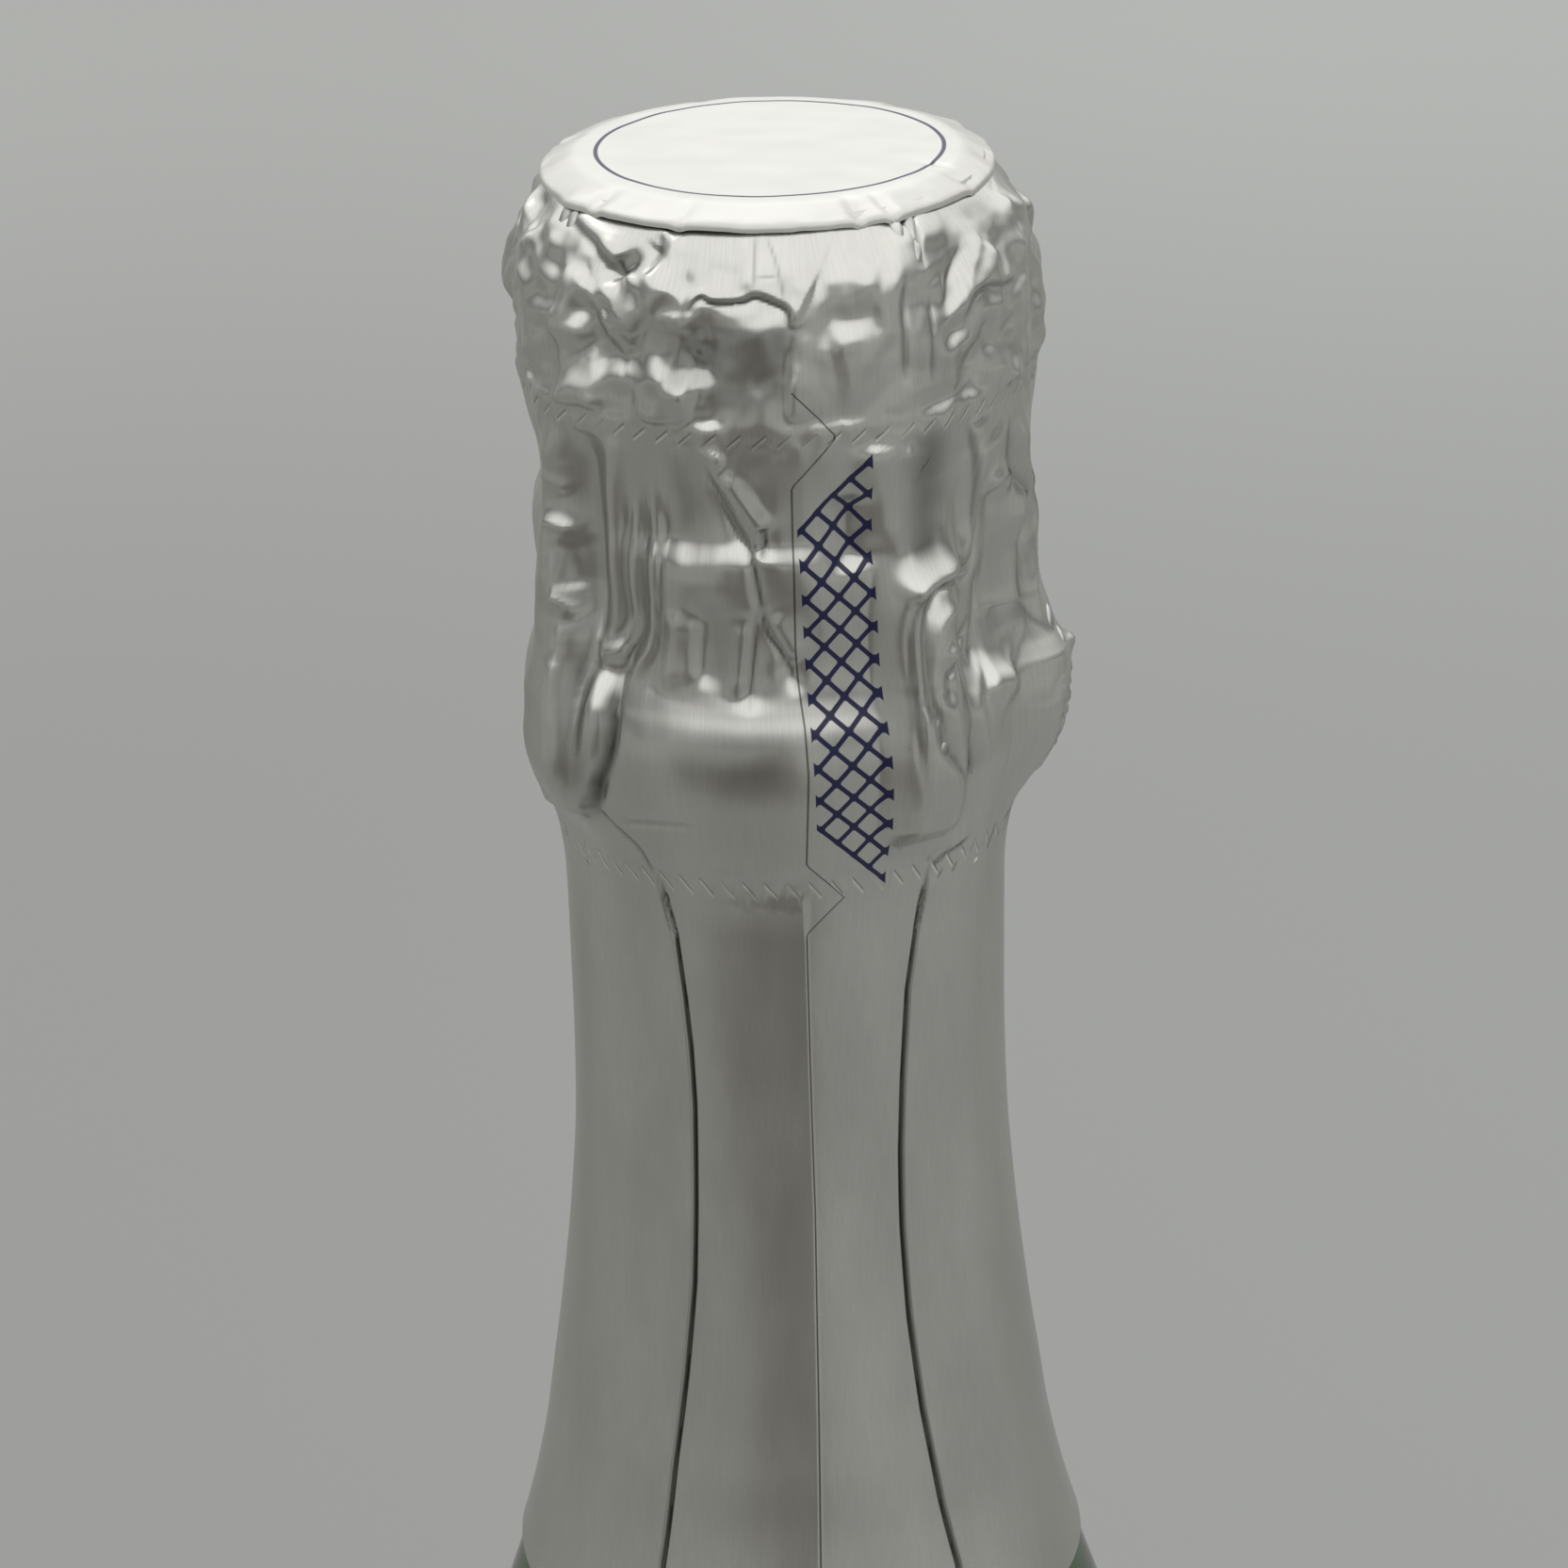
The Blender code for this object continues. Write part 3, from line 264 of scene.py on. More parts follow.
TEAR_FOLDS = (
    ("swell", 1.3, 0.55, 0.0, ((588, 440), (586, 520), (584, 600), (586, 660))),
    ("trough", 1.9, 0.65, 0.14, ((620, 440), (619, 520), (620, 600), (622, 680))),
    # This trough has no height: it only paints a dark reflection on the collar's face
    ("trough", 1.3, 0.0, 0.30, ((700, 812), (770, 820), (845, 822))),
    ("swell", 0.9, 0.60, 0.0, ((650, 440), (652, 520), (655, 600), (658, 660), (648, 700), (640, 750),
                               (630, 800), (618, 846))),
    ("trough", 1.6, 0.24, 0.15, ((728, 460), (730, 530), (734, 620))),
    ("trough", 1.4, 0.14, 0.20, ((752, 620), (762, 680), (765, 745))),
    ("swell", 1.6, 0.40, 0.0, ((932, 460), (930, 530), (926, 590))),
    ("trough", 1.9, 0.30, 0.62, ((986, 440), (986, 520), (984, 620))),
    ("swell", 1.0, 0.50, 0.0, ((958, 640), (984, 620), (1014, 602))),
    ("trough", 1.5, 0.50, 0.05, ((1048, 500), (1052, 590), (1058, 670))),
    ("swell", 0.9, 0.50, 0.0, ((1036, 508), (1056, 506), (1074, 508))),
    ("swell", 1.0, 0.50, 0.0, ((1040, 732), (1060, 726), (1084, 728))),
    ("swell", 0.6, 0.36, 0.0, ((1000, 694), (1018, 684))),
    ("swell", 0.8, 0.34, 0.0, ((640, 694), (656, 690), (672, 692))),
    ("swell", 1.2, 0.60, 0.0, ((1078, 430), (1080, 500), (1078, 580))),
    ("trough", 1.4, 0.45, 0.15, ((900, 520), (902, 570), (905, 610))),
    ("valley", 0.32, 0.34, 0.35, ((664, 506), (664, 600), (667, 652), (652, 690), (642, 722))),
    ("ridge", 0.32, 0.32, 0.0, ((674, 508), (675, 600), (677, 655), (662, 692), (652, 722))),
    ("valley", 0.30, 0.40, 0.6, ((682, 506), (686, 600), (684, 666), (666, 700), (656, 741))),
    ("ridge", 0.32, 0.36, 0.0, ((691, 510), (696, 600), (694, 676), (676, 712), (668, 752))),
    ("valley", 0.34, 0.36, 0.35, ((702, 512), (707, 566), (704, 610), (702, 660), (690, 738))),
    ("ridge", 0.50, 0.34, 0.0, ((720, 640), (716, 690), (706, 738))),
    ("ridge", 0.26, 0.22, 0.0, ((582, 498), (593, 511), (600, 526))),
    ("ridge", 0.26, 0.22, 0.0, ((582, 547), (596, 560), (606, 570))),
    ("ridge", 0.28, 0.26, 0.0, ((583, 630), (596, 642), (610, 656))),
    ("valley", 0.45, 0.24, 0.3, ((598, 570), (603, 600), (603, 630))),
    ("valley", 0.32, 0.40, 0.6, ((742, 484), (750, 505), (761, 527), (778, 559), (794, 582), (801, 603),
                                 (804, 623), (808, 644), (813, 668))),
    ("ridge", 0.38, 0.28, 0.0, ((752, 484), (766, 518), (780, 545), (794, 567), (803, 587), (807, 612))),
    ("swell", 0.70, 0.42, 0.0, ((766, 498), (780, 522), (794, 541), (805, 557), (806, 580))),
    ("valley", 0.24, 0.36, 0.9, ((809, 556), (812, 575), (808, 594))),
    ("valley", 0.36, 0.32, 0.5, ((804, 646), (801, 677), (799, 705), (796, 735), (795, 760))),
    ("ridge", 0.50, 0.28, 0.0, ((789, 655), (785, 700), (779, 745))),
    ("valley", 0.28, 0.34, 0.7, ((807, 640), (815, 671), (829, 691), (839, 711), (848, 740))),
    ("ridge", 0.50, 0.32, 0.0, ((817, 650), (832, 678), (846, 704))),
    ("ridge", 0.60, 0.30, 0.0, ((735, 650), (731, 690), (728, 730))),
    ("valley", 0.60, 0.34, 0.15, ((750, 645), (747, 690), (744, 734))),
    ("lap", 0.25, 0.80, 0.9, ((628, 872), (636, 838), (647, 804), (653, 772), (656, 741), (661, 708))),
    ("ridge", 0.80, 0.24, 0.0, ((648, 690), (640, 740), (629, 795), (618, 846))),
    ("trough", 0.9, 0.10, 0.40, ((612, 680), (618, 740), (620, 800), (614, 846))),
    ("valley", 0.55, 0.40, 0.35, ((606, 690), (612, 740), (612, 800), (608, 850))),
    ("ridge", 0.50, 0.36, 0.0, ((588, 684), (596, 750), (598, 810), (596, 850))),
    ("valley", 0.28, 0.18, 0.2, ((658, 870), (700, 874), (742, 878))),
    ("lap", 0.14, 0.26, 0.85, ((618, 856), (632, 856), (654, 874), (681, 900), (697, 931))),
    ("lap", 0.14, 0.26, 0.85, ((985, 930), (988, 919), (998, 909), (1014, 897), (1032, 884))),
    ("ridge", 0.70, 0.42, 0.0, ((1026, 440), (1028, 510), (1026, 570), (1010, 602), (982, 618), (958, 640),
                                (948, 680), (951, 725), (958, 768))),
    ("valley", 0.34, 0.44, 0.5, ((1034, 480), (1034, 550), (1028, 600), (1004, 622), (980, 636), (968, 668),
                                 (969, 705), (976, 750), (982, 809), (989, 862))),
    ("ridge", 0.32, 0.28, 0.0, ((1012, 610), (986, 628), (973, 665), (977, 710), (984, 760), (993, 812))),
    ("valley", 0.28, 0.44, 0.6, ((1032, 597), (1008, 615), (990, 634), (980, 676), (986, 740), (998, 768),
                                 (1009, 799), (1025, 841))),
    ("ridge", 0.42, 0.34, 0.0, ((1024, 622), (1004, 655), (996, 700), (1002, 748), (1014, 790))),
    ("valley", 0.30, 0.36, 0.5, ((1033, 650), (1019, 680), (1008, 715), (1013, 758))),
    ("ridge", 0.42, 0.40, 0.0, ((1040, 690), (1038, 750), (1044, 822))),
    ("valley", 0.26, 0.46, 0.9, ((1029, 764), (1031, 790), (1034, 826))),
    ("lap", 0.16, 0.34, 0.5, ((1027, 436), (1029, 500), (1028, 578))),
    ("valley", 0.34, 0.30, 0.3, ((1036, 600), (1039, 640), (1034, 716))),
    ("valley", 0.28, 0.40, 0.45, ((1066, 430), (1068, 465), (1070, 496), (1086, 533), (1087, 584),
                                  (1088, 625), (1098, 656), (1120, 674))),
    ("ridge", 0.34, 0.42, 0.0, ((1076, 470), (1082, 505), (1094, 540), (1095, 590), (1097, 622),
                                (1108, 652))),
    ("ridge", 1.10, 0.46, 0.0, ((1050, 450), (1052, 482), (1056, 512))),
    ("ridge", 1.10, 0.40, 0.0, ((1042, 716), (1060, 712), (1076, 716))),
    ("ridge", 0.40, 0.34, 0.0, ((750, 470), (758, 486), (770, 492))),
    ("ridge", 0.50, 0.30, 0.0, ((955, 480), (975, 486), (990, 492))),
)

# Corners of the pocket that the foil forms at the cap's front
POCKET_PIXELS = ((727, 346), (838, 418))

# The foil's lap at the front and the pleats below the legs, as pixels down the neck sleeve
SEAM_PIXELS = ((840, 417), (888, 464), (840, 518), (842, 600), (844, 690), (848, 731), (854, 772), (858, 823),
               (856, 919), (896, 952), (856, 992), (860, 1140), (865, 1286), (869, 1503), (871, 1660))
LEFT_PLEAT = ((690, 915), (705, 953), (716, 992), (726, 1059), (732, 1111), (736, 1173), (737, 1267),
              (736, 1361), (728, 1456), (716, 1550), (702, 1659))
RIGHT_PLEAT = ((990, 910), (981, 945), (973, 986), (964, 1050), (959, 1140), (957, 1220), (959, 1305),
               (966, 1395), (980, 1494), (999, 1588), (1018, 1659))

# Seeds of the crumples, of the puckers along both perforations, and of the two draws of folds behind
CAP_SEED, BAND_SEED, SLEEVE_SEED, DISC_SEED = 11.3, 47.9, 83.1, 5.7
UPPER_PUCKERS, LOWER_PUCKERS = CAP_SEED + 9, SLEEVE_SEED + 5
CAP_DRAW, BAND_DRAW = 3, 5

# Length over which a lap flattens out, and the least half width of the shade painted along a crease, in
# millimetres
LAP_FALL = 2.6
LEAST_SHADE = 0.18


def line_field(across, down, line):
    """Distance, side (1 on the left) and share along of the points of a grid, to a smooth line."""
    least = np.full(across.shape, 1e9)
    side = np.ones(across.shape)
    share = np.zeros(across.shape)
    lengths = np.concatenate([[0], np.cumsum(np.hypot(*np.diff(line, axis=0).T))])
    for index, (start, end) in enumerate(zip(line, line[1:])):
        run = end - start
        length = max(np.hypot(*run), 1e-9)
        ahead = ((across - start[0]) * run[0] + (down - start[1]) * run[1]) / length
        held = np.clip(ahead, 0, length)
        gap_x = across - start[0] - run[0] / length * held
        gap_y = down - start[1] - run[1] / length * held
        gap = np.hypot(gap_x, gap_y)
        nearer = gap < least
        least = np.where(nearer, gap, least)
        side = np.where(nearer, np.sign(run[1] * gap_x - run[0] * gap_y + 1e-12), side)
        share = np.where(nearer, (lengths[index] + held) / lengths[-1], share)
    return least, side, share


class Sheet:
    """A stretch of the foil as a grid on the unrolled hood, with its relief in millimetres and its painted
    shade.
    """

    def __init__(self, across, down):
        self.across, self.down = across, down
        self.azimuth = np.degrees(across / UNROLL_RADIUS)
        self.height = height_at(down)
        self.lift = np.zeros(across.shape)
        self.shade = np.zeros(across.shape)

    # Shade is painted on the sheet, and the strongest is kept at each point
    def paint_shade(self, shade, where=...):
        self.shade[where] = np.maximum(self.shade[where], shade)

    def fold(self, kind, width, height, painted_dark, pixels):
        self.fold_line(kind, width, height, painted_dark, smooth_line(on_hood(pixels), 5))

    def fold_line(self, kind, width, height, painted_dark, line):
        """Lifts or sinks the sheet along a line and paints shade along it, by shapes that fade out at the
        line's ends.
        """
        reach = 7.0 * width + (3 * LAP_FALL if kind == "lap" else 0)
        low, high = line.min(0) - reach, line.max(0) + reach
        near = (self.across > low[0]) & (self.across < high[0])
        near &= (self.down > low[1]) & (self.down < high[1])
        if not near.any():
            return
        gap, side, share = line_field(self.across[near], self.down[near], line)
        if kind == "lap":
            signed = gap * side
            raised = 0.5 + 0.5 * np.tanh(signed / width)
            rise = raised * np.exp(-np.maximum(signed, 0) / LAP_FALL) - 0.35 * bell(gap, 1.6 * width)
            depth = bell(signed + 0.5 * width, 1.5 * width)
        elif kind in ("swell", "trough"):
            rise, depth = bell(gap, width), bell(gap, 0.9 * width)
        else:
            # A crease: a rounded edge between two flanks that flatten out
            edge = 0.45 * width
            rise = np.exp(-(np.hypot(gap, edge) - edge) / (1.7 * width))
            depth = bell(gap, max(0.5 * width, LEAST_SHADE))
        ends = eased(np.minimum(share, 1 - share), -0.02, 0.24)
        self.lift[near] += (-height if kind in ("valley", "trough") else height) * ends * rise
        self.paint_shade(painted_dark * ends * depth, near)

    def sampled(self, value_of, scale, seed, stretch):
        """A value at each point of the round sheet, so that the sheet meets itself at the back."""
        angle = self.across / UNROLL_RADIUS
        x = UNROLL_RADIUS * np.sin(angle) / scale
        y = UNROLL_RADIUS * np.cos(angle) / scale
        z = self.down / (scale * stretch) + seed
        values = [value_of(Vector(spot)) for spot in zip(x.flat, y.flat, z.flat)]
        return np.array(values).reshape(self.across.shape)

    def noise_at(self, scale, seed, stretch=1.0):
        """Smooth noise, from about -1 to 1."""
        return self.sampled(noise.noise, scale, seed, stretch) * 2

    def facets_at(self, scale, seed, stretch=1.0):
        """Flat patches that meet in ridges, from 0 to 1."""

        def edge_gap(spot):
            nearest, second = noise.voronoi(spot)[0][:2]
            return min(second - nearest, 1.0)

        return self.sampled(edge_gap, scale, seed, stretch)

    def points(self):
        """The sheet's points in metres, lifted along the outline's normal."""
        step = 0.2
        slope_r = (radius_at(self.down + step) - radius_at(self.down - step)) / (2 * step)
        slope_z = (height_at(self.down + step) - height_at(self.down - step)) / (2 * step)
        out_r, out_z = -slope_z, slope_r
        size = np.maximum(np.hypot(out_r, out_z), 1e-6)
        radius = radius_at(self.down) + self.lift * out_r / size + tent(self.azimuth, self.height)
        height = self.height + self.lift * out_z / size
        angle = np.radians(self.azimuth)
        return np.stack([radius * np.sin(angle), -radius * np.cos(angle), height], axis=-1) * MM


# Blender helpers


def deselect():
    if bpy.context.mode != "OBJECT":
        bpy.ops.object.mode_set(mode="OBJECT")
    bpy.ops.object.select_all(action="DESELECT")


def added(operator, name, **settings):
    """A new primitive, alone in the selection."""
    deselect()
    operator(**settings)
    piece = bpy.context.object
    piece.name = name
    piece.data.name = name
    return piece


def settle(piece, angle=30.0):
    """Puts the piece's place in its mesh and smooths its round faces."""
    deselect()
    piece.select_set(True)
    bpy.context.view_layer.objects.active = piece
    bpy.ops.object.transform_apply(location=True, rotation=True, scale=True)
    bpy.ops.object.shade_smooth_by_angle(angle=math.radians(angle))
    return piece


def apply_modifiers(piece):
    deselect()
    piece.select_set(True)
    bpy.context.view_layer.objects.active = piece
    for modifier in list(piece.modifiers):
        bpy.ops.object.modifier_apply(modifier=modifier.name)


def turned(name, outline, steps):
    """A piece of revolution: a point drawn along (radius, height) pairs in metres, then spun."""
    first = outline[0]
    piece = added(bpy.ops.mesh.primitive_plane_add, name, size=MM, location=(first[0], 0, first[1]))
    bpy.ops.object.mode_set(mode="EDIT")
    bpy.ops.mesh.select_all(action="SELECT")
    bpy.ops.mesh.merge(type="CENTER")
    for start, end in zip(outline, outline[1:]):
        step = (end[0] - start[0], 0, end[1] - start[1])
        bpy.ops.mesh.extrude_region_move(TRANSFORM_OT_translate={"value": step})
    bpy.ops.mesh.select_all(action="SELECT")
    bpy.ops.mesh.remove_doubles(threshold=MERGE)
    bpy.ops.mesh.select_all(action="SELECT")
    bpy.ops.mesh.spin(steps=steps, angle=2 * math.pi, center=(0, 0, 0), axis=(0, 0, 1))
    bpy.ops.mesh.select_all(action="SELECT")
    bpy.ops.mesh.remove_doubles(threshold=MERGE)
    bpy.ops.mesh.normals_make_consistent(inside=False)
    bpy.ops.object.mode_set(mode="OBJECT")
    return settle(piece)


def bent_grid(name, points, across, down, shade, thickness):
    """A grid primitive bent to rows of points, its first and last columns joined, given a thickness."""
    rows, columns = points.shape[:2]
    cells = {"x_subdivisions": columns - 1, "y_subdivisions": rows - 1}
    piece = added(bpy.ops.mesh.primitive_grid_add, name, size=1, **cells)
    mesh = piece.data
    # The grid's own rows run towards +Y, and the sheet's run down
    mesh.vertices.foreach_set("co", points[::-1].reshape(-1).astype(np.float32))
    # The painted shade goes with the mesh as a point attribute, and the materials darken the colour by it
    painted_dark = mesh.attributes.new("painted_shade_layer", "FLOAT", "POINT")
    painted_dark.data.foreach_set("value", shade[::-1].reshape(-1).astype(np.float32))
    flat = np.stack([across[::-1], -down[::-1]], axis=-1).reshape(-1, 2).astype(np.float32)
    corners = np.empty(len(mesh.loops), np.int32)
    mesh.loops.foreach_get("vertex_index", corners)
    layer = mesh.uv_layers.active
    layer.name = "unrolled"
    layer.data.foreach_set("uv", flat[corners].reshape(-1))
    mesh.update()
    bpy.ops.object.mode_set(mode="EDIT")
    bpy.ops.mesh.select_all(action="SELECT")
    bpy.ops.mesh.remove_doubles(threshold=MERGE)
    bpy.ops.object.mode_set(mode="OBJECT")
    if thickness:
        wall = piece.modifiers.new("sheet", "SOLIDIFY")
        wall.thickness = thickness
        wall.offset = -1.0
        apply_modifiers(piece)
    return settle(piece, 60.0)


def tube(name, points, radius, cyclic=False):
    """A round wire along points, as a mesh."""
    piece = added(bpy.ops.curve.primitive_nurbs_path_add, name)
    curve = piece.data
    curve.splines.clear()
    spline = curve.splines.new("POLY")
    spline.points.add(len(points) - 1)
    for target, point in zip(spline.points, points):
        target.co = (*point, 1)
    spline.use_cyclic_u = cyclic
    curve.twist_mode = "MINIMUM"
    curve.bevel_depth = radius
    curve.bevel_resolution = 3
    curve.use_fill_caps = not cyclic
    bpy.ops.object.convert(target="MESH")
    piece = bpy.context.object
    bpy.ops.object.mode_set(mode="EDIT")
    bpy.ops.mesh.select_all(action="SELECT")
    bpy.ops.mesh.remove_doubles(threshold=MERGE)
    bpy.ops.mesh.normals_make_consistent(inside=False)
    bpy.ops.object.mode_set(mode="OBJECT")
    return settle(piece, 50.0)


def joined(name, pieces):
    deselect()
    for piece in pieces:
        piece.select_set(True)
    bpy.context.view_layer.objects.active = pieces[0]
    bpy.ops.object.join()
    piece = bpy.context.object
    piece.name = name
    piece.data.name = name
    return piece


def finished(piece, material, body, slot, *nodes):
    piece.data.materials.clear()
    piece.data.materials.append(material)
    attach(piece, body)
    if nodes:
        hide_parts(*nodes)
    return piece


class Recipe:
    """A node tree, built by short calls. Values may be numbers, tuples or sockets."""

    # A colour Mix node's own sockets, which come after those for numbers and vectors
    FIRST_COLOUR, SECOND_COLOUR, MIXED_COLOUR = 6, 7, 2

    def __init__(self, tree):
        self.tree = tree

    def node(self, kind, **settings):
        made = self.tree.nodes.new(kind)
        for key, value in settings.items():
            setattr(made, key, value)
        return made

    def give(self, socket, value):
        if isinstance(value, bpy.types.NodeSocket):
            self.tree.links.new(value, socket)
        elif value is not None:
            socket.default_value = value

    def math(self, operation, first, second=None, third=None):
        made = self.node("ShaderNodeMath", operation=operation)
        for socket, value in zip(made.inputs, (first, second, third)):
            self.give(socket, value)
        return made.outputs[0]

    def plus(self, first, second):
        return self.math("ADD", first, second)

    def minus(self, first, second):
        return self.math("SUBTRACT", first, second)

    def times(self, first, second):
        return self.math("MULTIPLY", first, second)

    def size_of(self, value):
        return self.math("ABSOLUTE", value)

    def off_axis(self, spots):
        """How far a point lies from the bottle's axis."""
        squares = [self.math("POWER", spots[axis], 2.0) for axis in (0, 1)]
        return self.math("SQRT", self.plus(*squares))

    def ramp(self, value, low, high, to_low=0.0, to_high=1.0, kind="SMOOTHSTEP"):
        made = self.node("ShaderNodeMapRange", interpolation_type=kind)
        for socket, given in zip(made.inputs, (value, low, high, to_low, to_high)):
            self.give(socket, given)
        return made.outputs["Result"]

    def fade(self, value, low, high):
        """1 below low, 0 above high and smooth between."""
        return self.ramp(value, low, high, 1.0, 0.0)

    def between(self, share, start, end):
        """The number that lies a share of the way from start to end."""
        return self.ramp(share, 0.0, 1.0, start, end, "LINEAR")

    def mix(self, share, first, second, blend="MIX"):
        made = self.node("ShaderNodeMix", data_type="RGBA", blend_type=blend)
        self.give(made.inputs["Factor"], share)
        self.give(made.inputs[self.FIRST_COLOUR], first)
        self.give(made.inputs[self.SECOND_COLOUR], second)
        return made.outputs[self.MIXED_COLOUR]

    def grey(self, value):
        made = self.node("ShaderNodeCombineColor")
        for socket in made.inputs:
            self.give(socket, value)
        return made.outputs[0]

    def object_space(self):
        return self.node("ShaderNodeTexCoord").outputs["Object"]

    def unrolled(self):
        return self.node("ShaderNodeUVMap", uv_map="unrolled").outputs["UV"]

    def split(self, vector):
        made = self.node("ShaderNodeSeparateXYZ")
        self.give(made.inputs[0], vector)
        return made.outputs

    def attribute(self, name):
        return self.node("ShaderNodeAttribute", attribute_name=name).outputs["Fac"]

    def ray(self, kind):
        return self.node("ShaderNodeLightPath").outputs[f"Is {kind} Ray"]

    def scaled(self, vector, scale):
        made = self.node("ShaderNodeMapping")
        self.give(made.inputs["Vector"], vector)
        made.inputs["Scale"].default_value = scale
        return made.outputs["Vector"]

    def noise(self, vector, scale, detail):
        made = self.node("ShaderNodeTexNoise")
        self.give(made.inputs["Vector"], vector)
        made.inputs["Scale"].default_value = scale
        made.inputs["Detail"].default_value = detail
        return made.outputs["Fac"]

    def cells(self, vector, scale, feature="F1"):
        made = self.node("ShaderNodeTexVoronoi", feature=feature)
        self.give(made.inputs["Vector"], vector)
        made.inputs["Scale"].default_value = scale
        return made.outputs


class Finish(Recipe):
    """A new material, with the tree that leads to its shader."""

    def __init__(self, name):
        self.material = bpy.data.materials.new(name)
        self.material.use_nodes = True
        super().__init__(self.material.node_tree)
        self.shader = self.tree.nodes["Principled BSDF"]

    def set(self, **values):
        for key, value in values.items():
            self.give(self.shader.inputs[key.replace("_", " ")], value)
        return self

    def bump(self, height, strength, distance):
        made = self.node("ShaderNodeBump")
        made.inputs["Strength"].default_value = strength
        made.inputs["Distance"].default_value = distance
        self.give(made.inputs["Height"], height)
        self.give(self.shader.inputs["Normal"], made.outputs["Normal"])
        return self


# Settings that a user would change


class GLASS_PG_settings(bpy.types.PropertyGroup):
    colour: bpy.props.FloatVectorProperty(
        name="Glass colour", description="Colour of the bottle's glass", subtype="COLOR", size=3,
        default=(0.075, 0.190, 0.080), min=0, max=1)
    wine_colour: bpy.props.FloatVectorProperty(
        name="Wine colour", description="Colour of the wine", subtype="COLOR", size=3,
        default=(0.75, 0.58, 0.20), min=0, max=1)
    steps: bpy.props.IntProperty(
        name="Segments", description="Segments round the glass", default=160, min=32, max=256)
    wine_level: bpy.props.FloatProperty(
        name="Wine level", description="Height of the wine above the base", default=0.255, unit="LENGTH")


class FOIL_PG_settings(bpy.types.PropertyGroup):
    thickness: bpy.props.FloatProperty(
        name="Foil thickness", description="Thickness of the foil", default=0.12 * MM, unit="LENGTH")
    colour: bpy.props.FloatVectorProperty(
        name="Foil colour", description="Colour of the hood's foil", subtype="COLOR", size=3,
        default=(0.59, 0.59, 0.56), min=0, max=1)
    disc_colour: bpy.props.FloatVectorProperty(
        name="Top disc colour", description="Colour of the disc on top", subtype="COLOR", size=3,
        default=(0.66, 0.66, 0.63), min=0, max=1)
    print_colour: bpy.props.FloatVectorProperty(
        name="Print colour", description="Colour of the ring and the lattice", subtype="COLOR", size=3,
        default=(0.006, 0.006, 0.045), min=0, max=1)
    relief: bpy.props.FloatProperty(
        name="Relief", description="Strength of the foil's folds", default=1.25, min=0, max=2)
    crumple: bpy.props.FloatProperty(
        name="Crumple", description="Height of the small crumples of the cap", default=0.25, min=0, max=0.5)


class CLOSURE_PG_settings(bpy.types.PropertyGroup):
    wire_colour: bpy.props.FloatVectorProperty(
        name="Wire colour", description="Colour of the cage and belt wires", subtype="COLOR", size=3,
        default=(0.62, 0.62, 0.60), min=0, max=1)
    plaque_colour: bpy.props.FloatVectorProperty(
        name="Plaque colour", description="Colour of the stamped cap under the wire", subtype="COLOR", size=3,
        default=(0.72, 0.66, 0.50), min=0, max=1)
    cork_colour: bpy.props.FloatVectorProperty(
        name="Cork colour", description="Colour of the cork's lighter grains", subtype="COLOR", size=3,
        default=(0.60, 0.40, 0.22), min=0, max=1)
    twist_pitch: bpy.props.FloatProperty(
        name="Twist pitch", description="Length of one full turn of the twisted wires", default=5.2 * MM,
        unit="LENGTH")


class STAGE_PG_settings(bpy.types.PropertyGroup):
    floor_colour: bpy.props.FloatVectorProperty(
        name="Floor colour", description="Colour of the floor", subtype="COLOR", size=3,
        default=(0.355, 0.363, 0.352), min=0, max=1)
    lamp_power: bpy.props.FloatProperty(
        name="Lamp power", description="Power of the soft lamp above", default=5.0, min=0, unit="POWER")


def settings_of(name):
    return getattr(bpy.context.scene, name)


def shade_of(colour, share=1.0):
    """A colour for a socket, darkened to a share of itself."""
    return (*(channel * share for channel in colour), 1)


# Glass and wine

BODY_RADIUS = GLASS_HIGH.x
MOUTH = GLASS_HIGH.z
NECK_RADIUS = 15.05 * MM
NECK_TOP = MOUTH - 18 * MM
SHOULDER_HEIGHT = 110 * MM
SHOULDER_SHARES = (
    (1.0, 0.0), (0.872, 0.0), (0.802, 0.012), (0.721, 0.063), (0.663, 0.118), (0.605, 0.206), (0.541, 0.333),
    (0.465, 0.495), (0.349, 0.700), (0.233, 0.872), (0.110, 0.978), (0.0, 1.0),
)
PUNT_SHARES = ((1.0, 0.0), (0.86, 0.22), (0.64, 0.56), (0.36, 0.86), (0.16, 0.97), (0.0, 1.0))
BODY_WALL = 4.8 * MM
NECK_WALL = 4.65 * MM
HEEL_RADIUS = 8.5 * MM
BASE_RING = 5 * MM
BASE_THICKNESS = 10 * MM
PUNT_DEPTH = 36 * MM
PUNT_WALL = 9 * MM
CAVITY_CORNER = 6 * MM
BORE_RADIUS = 8.9 * MM
DEEP_BORE_RADIUS = 10.4 * MM
DEEP_BORE = MOUTH - 60 * MM
STRAIGHT_BORE = MOUTH - 28 * MM
LIP_ROUND = 0.6 * MM
# The wine stays clear of the glass, and its level in the neck is drawn in a little more
WINE_GAP = 0.15 * MM
WINE_LEVEL_INSET = 1.2 * MM


def arc(centre_radius, centre_height, radius, start, end, pieces):
    points = []
    for angle in np.radians(np.linspace(start, end, pieces + 1)):
        points.append((centre_radius + radius * math.cos(angle), centre_height + radius * math.sin(angle)))
    return points


def shoulder_outline(pieces):
    points = []
    for height_share, radius_share in SHOULDER_SHARES:
        height = SHOULDER_HEIGHT + height_share * (NECK_TOP - SHOULDER_HEIGHT)
        points.append((NECK_RADIUS + radius_share * (BODY_RADIUS - NECK_RADIUS), height))
    return [tuple(point) for point in smooth_line(points, pieces)]


def punt_outline(radius, bottom, top):
    points = [(radius * across, bottom + (top - bottom) * rise) for across, rise in PUNT_SHARES]
    return [(max(across, 0.0), up) for across, up in smooth_line(points, 3)]


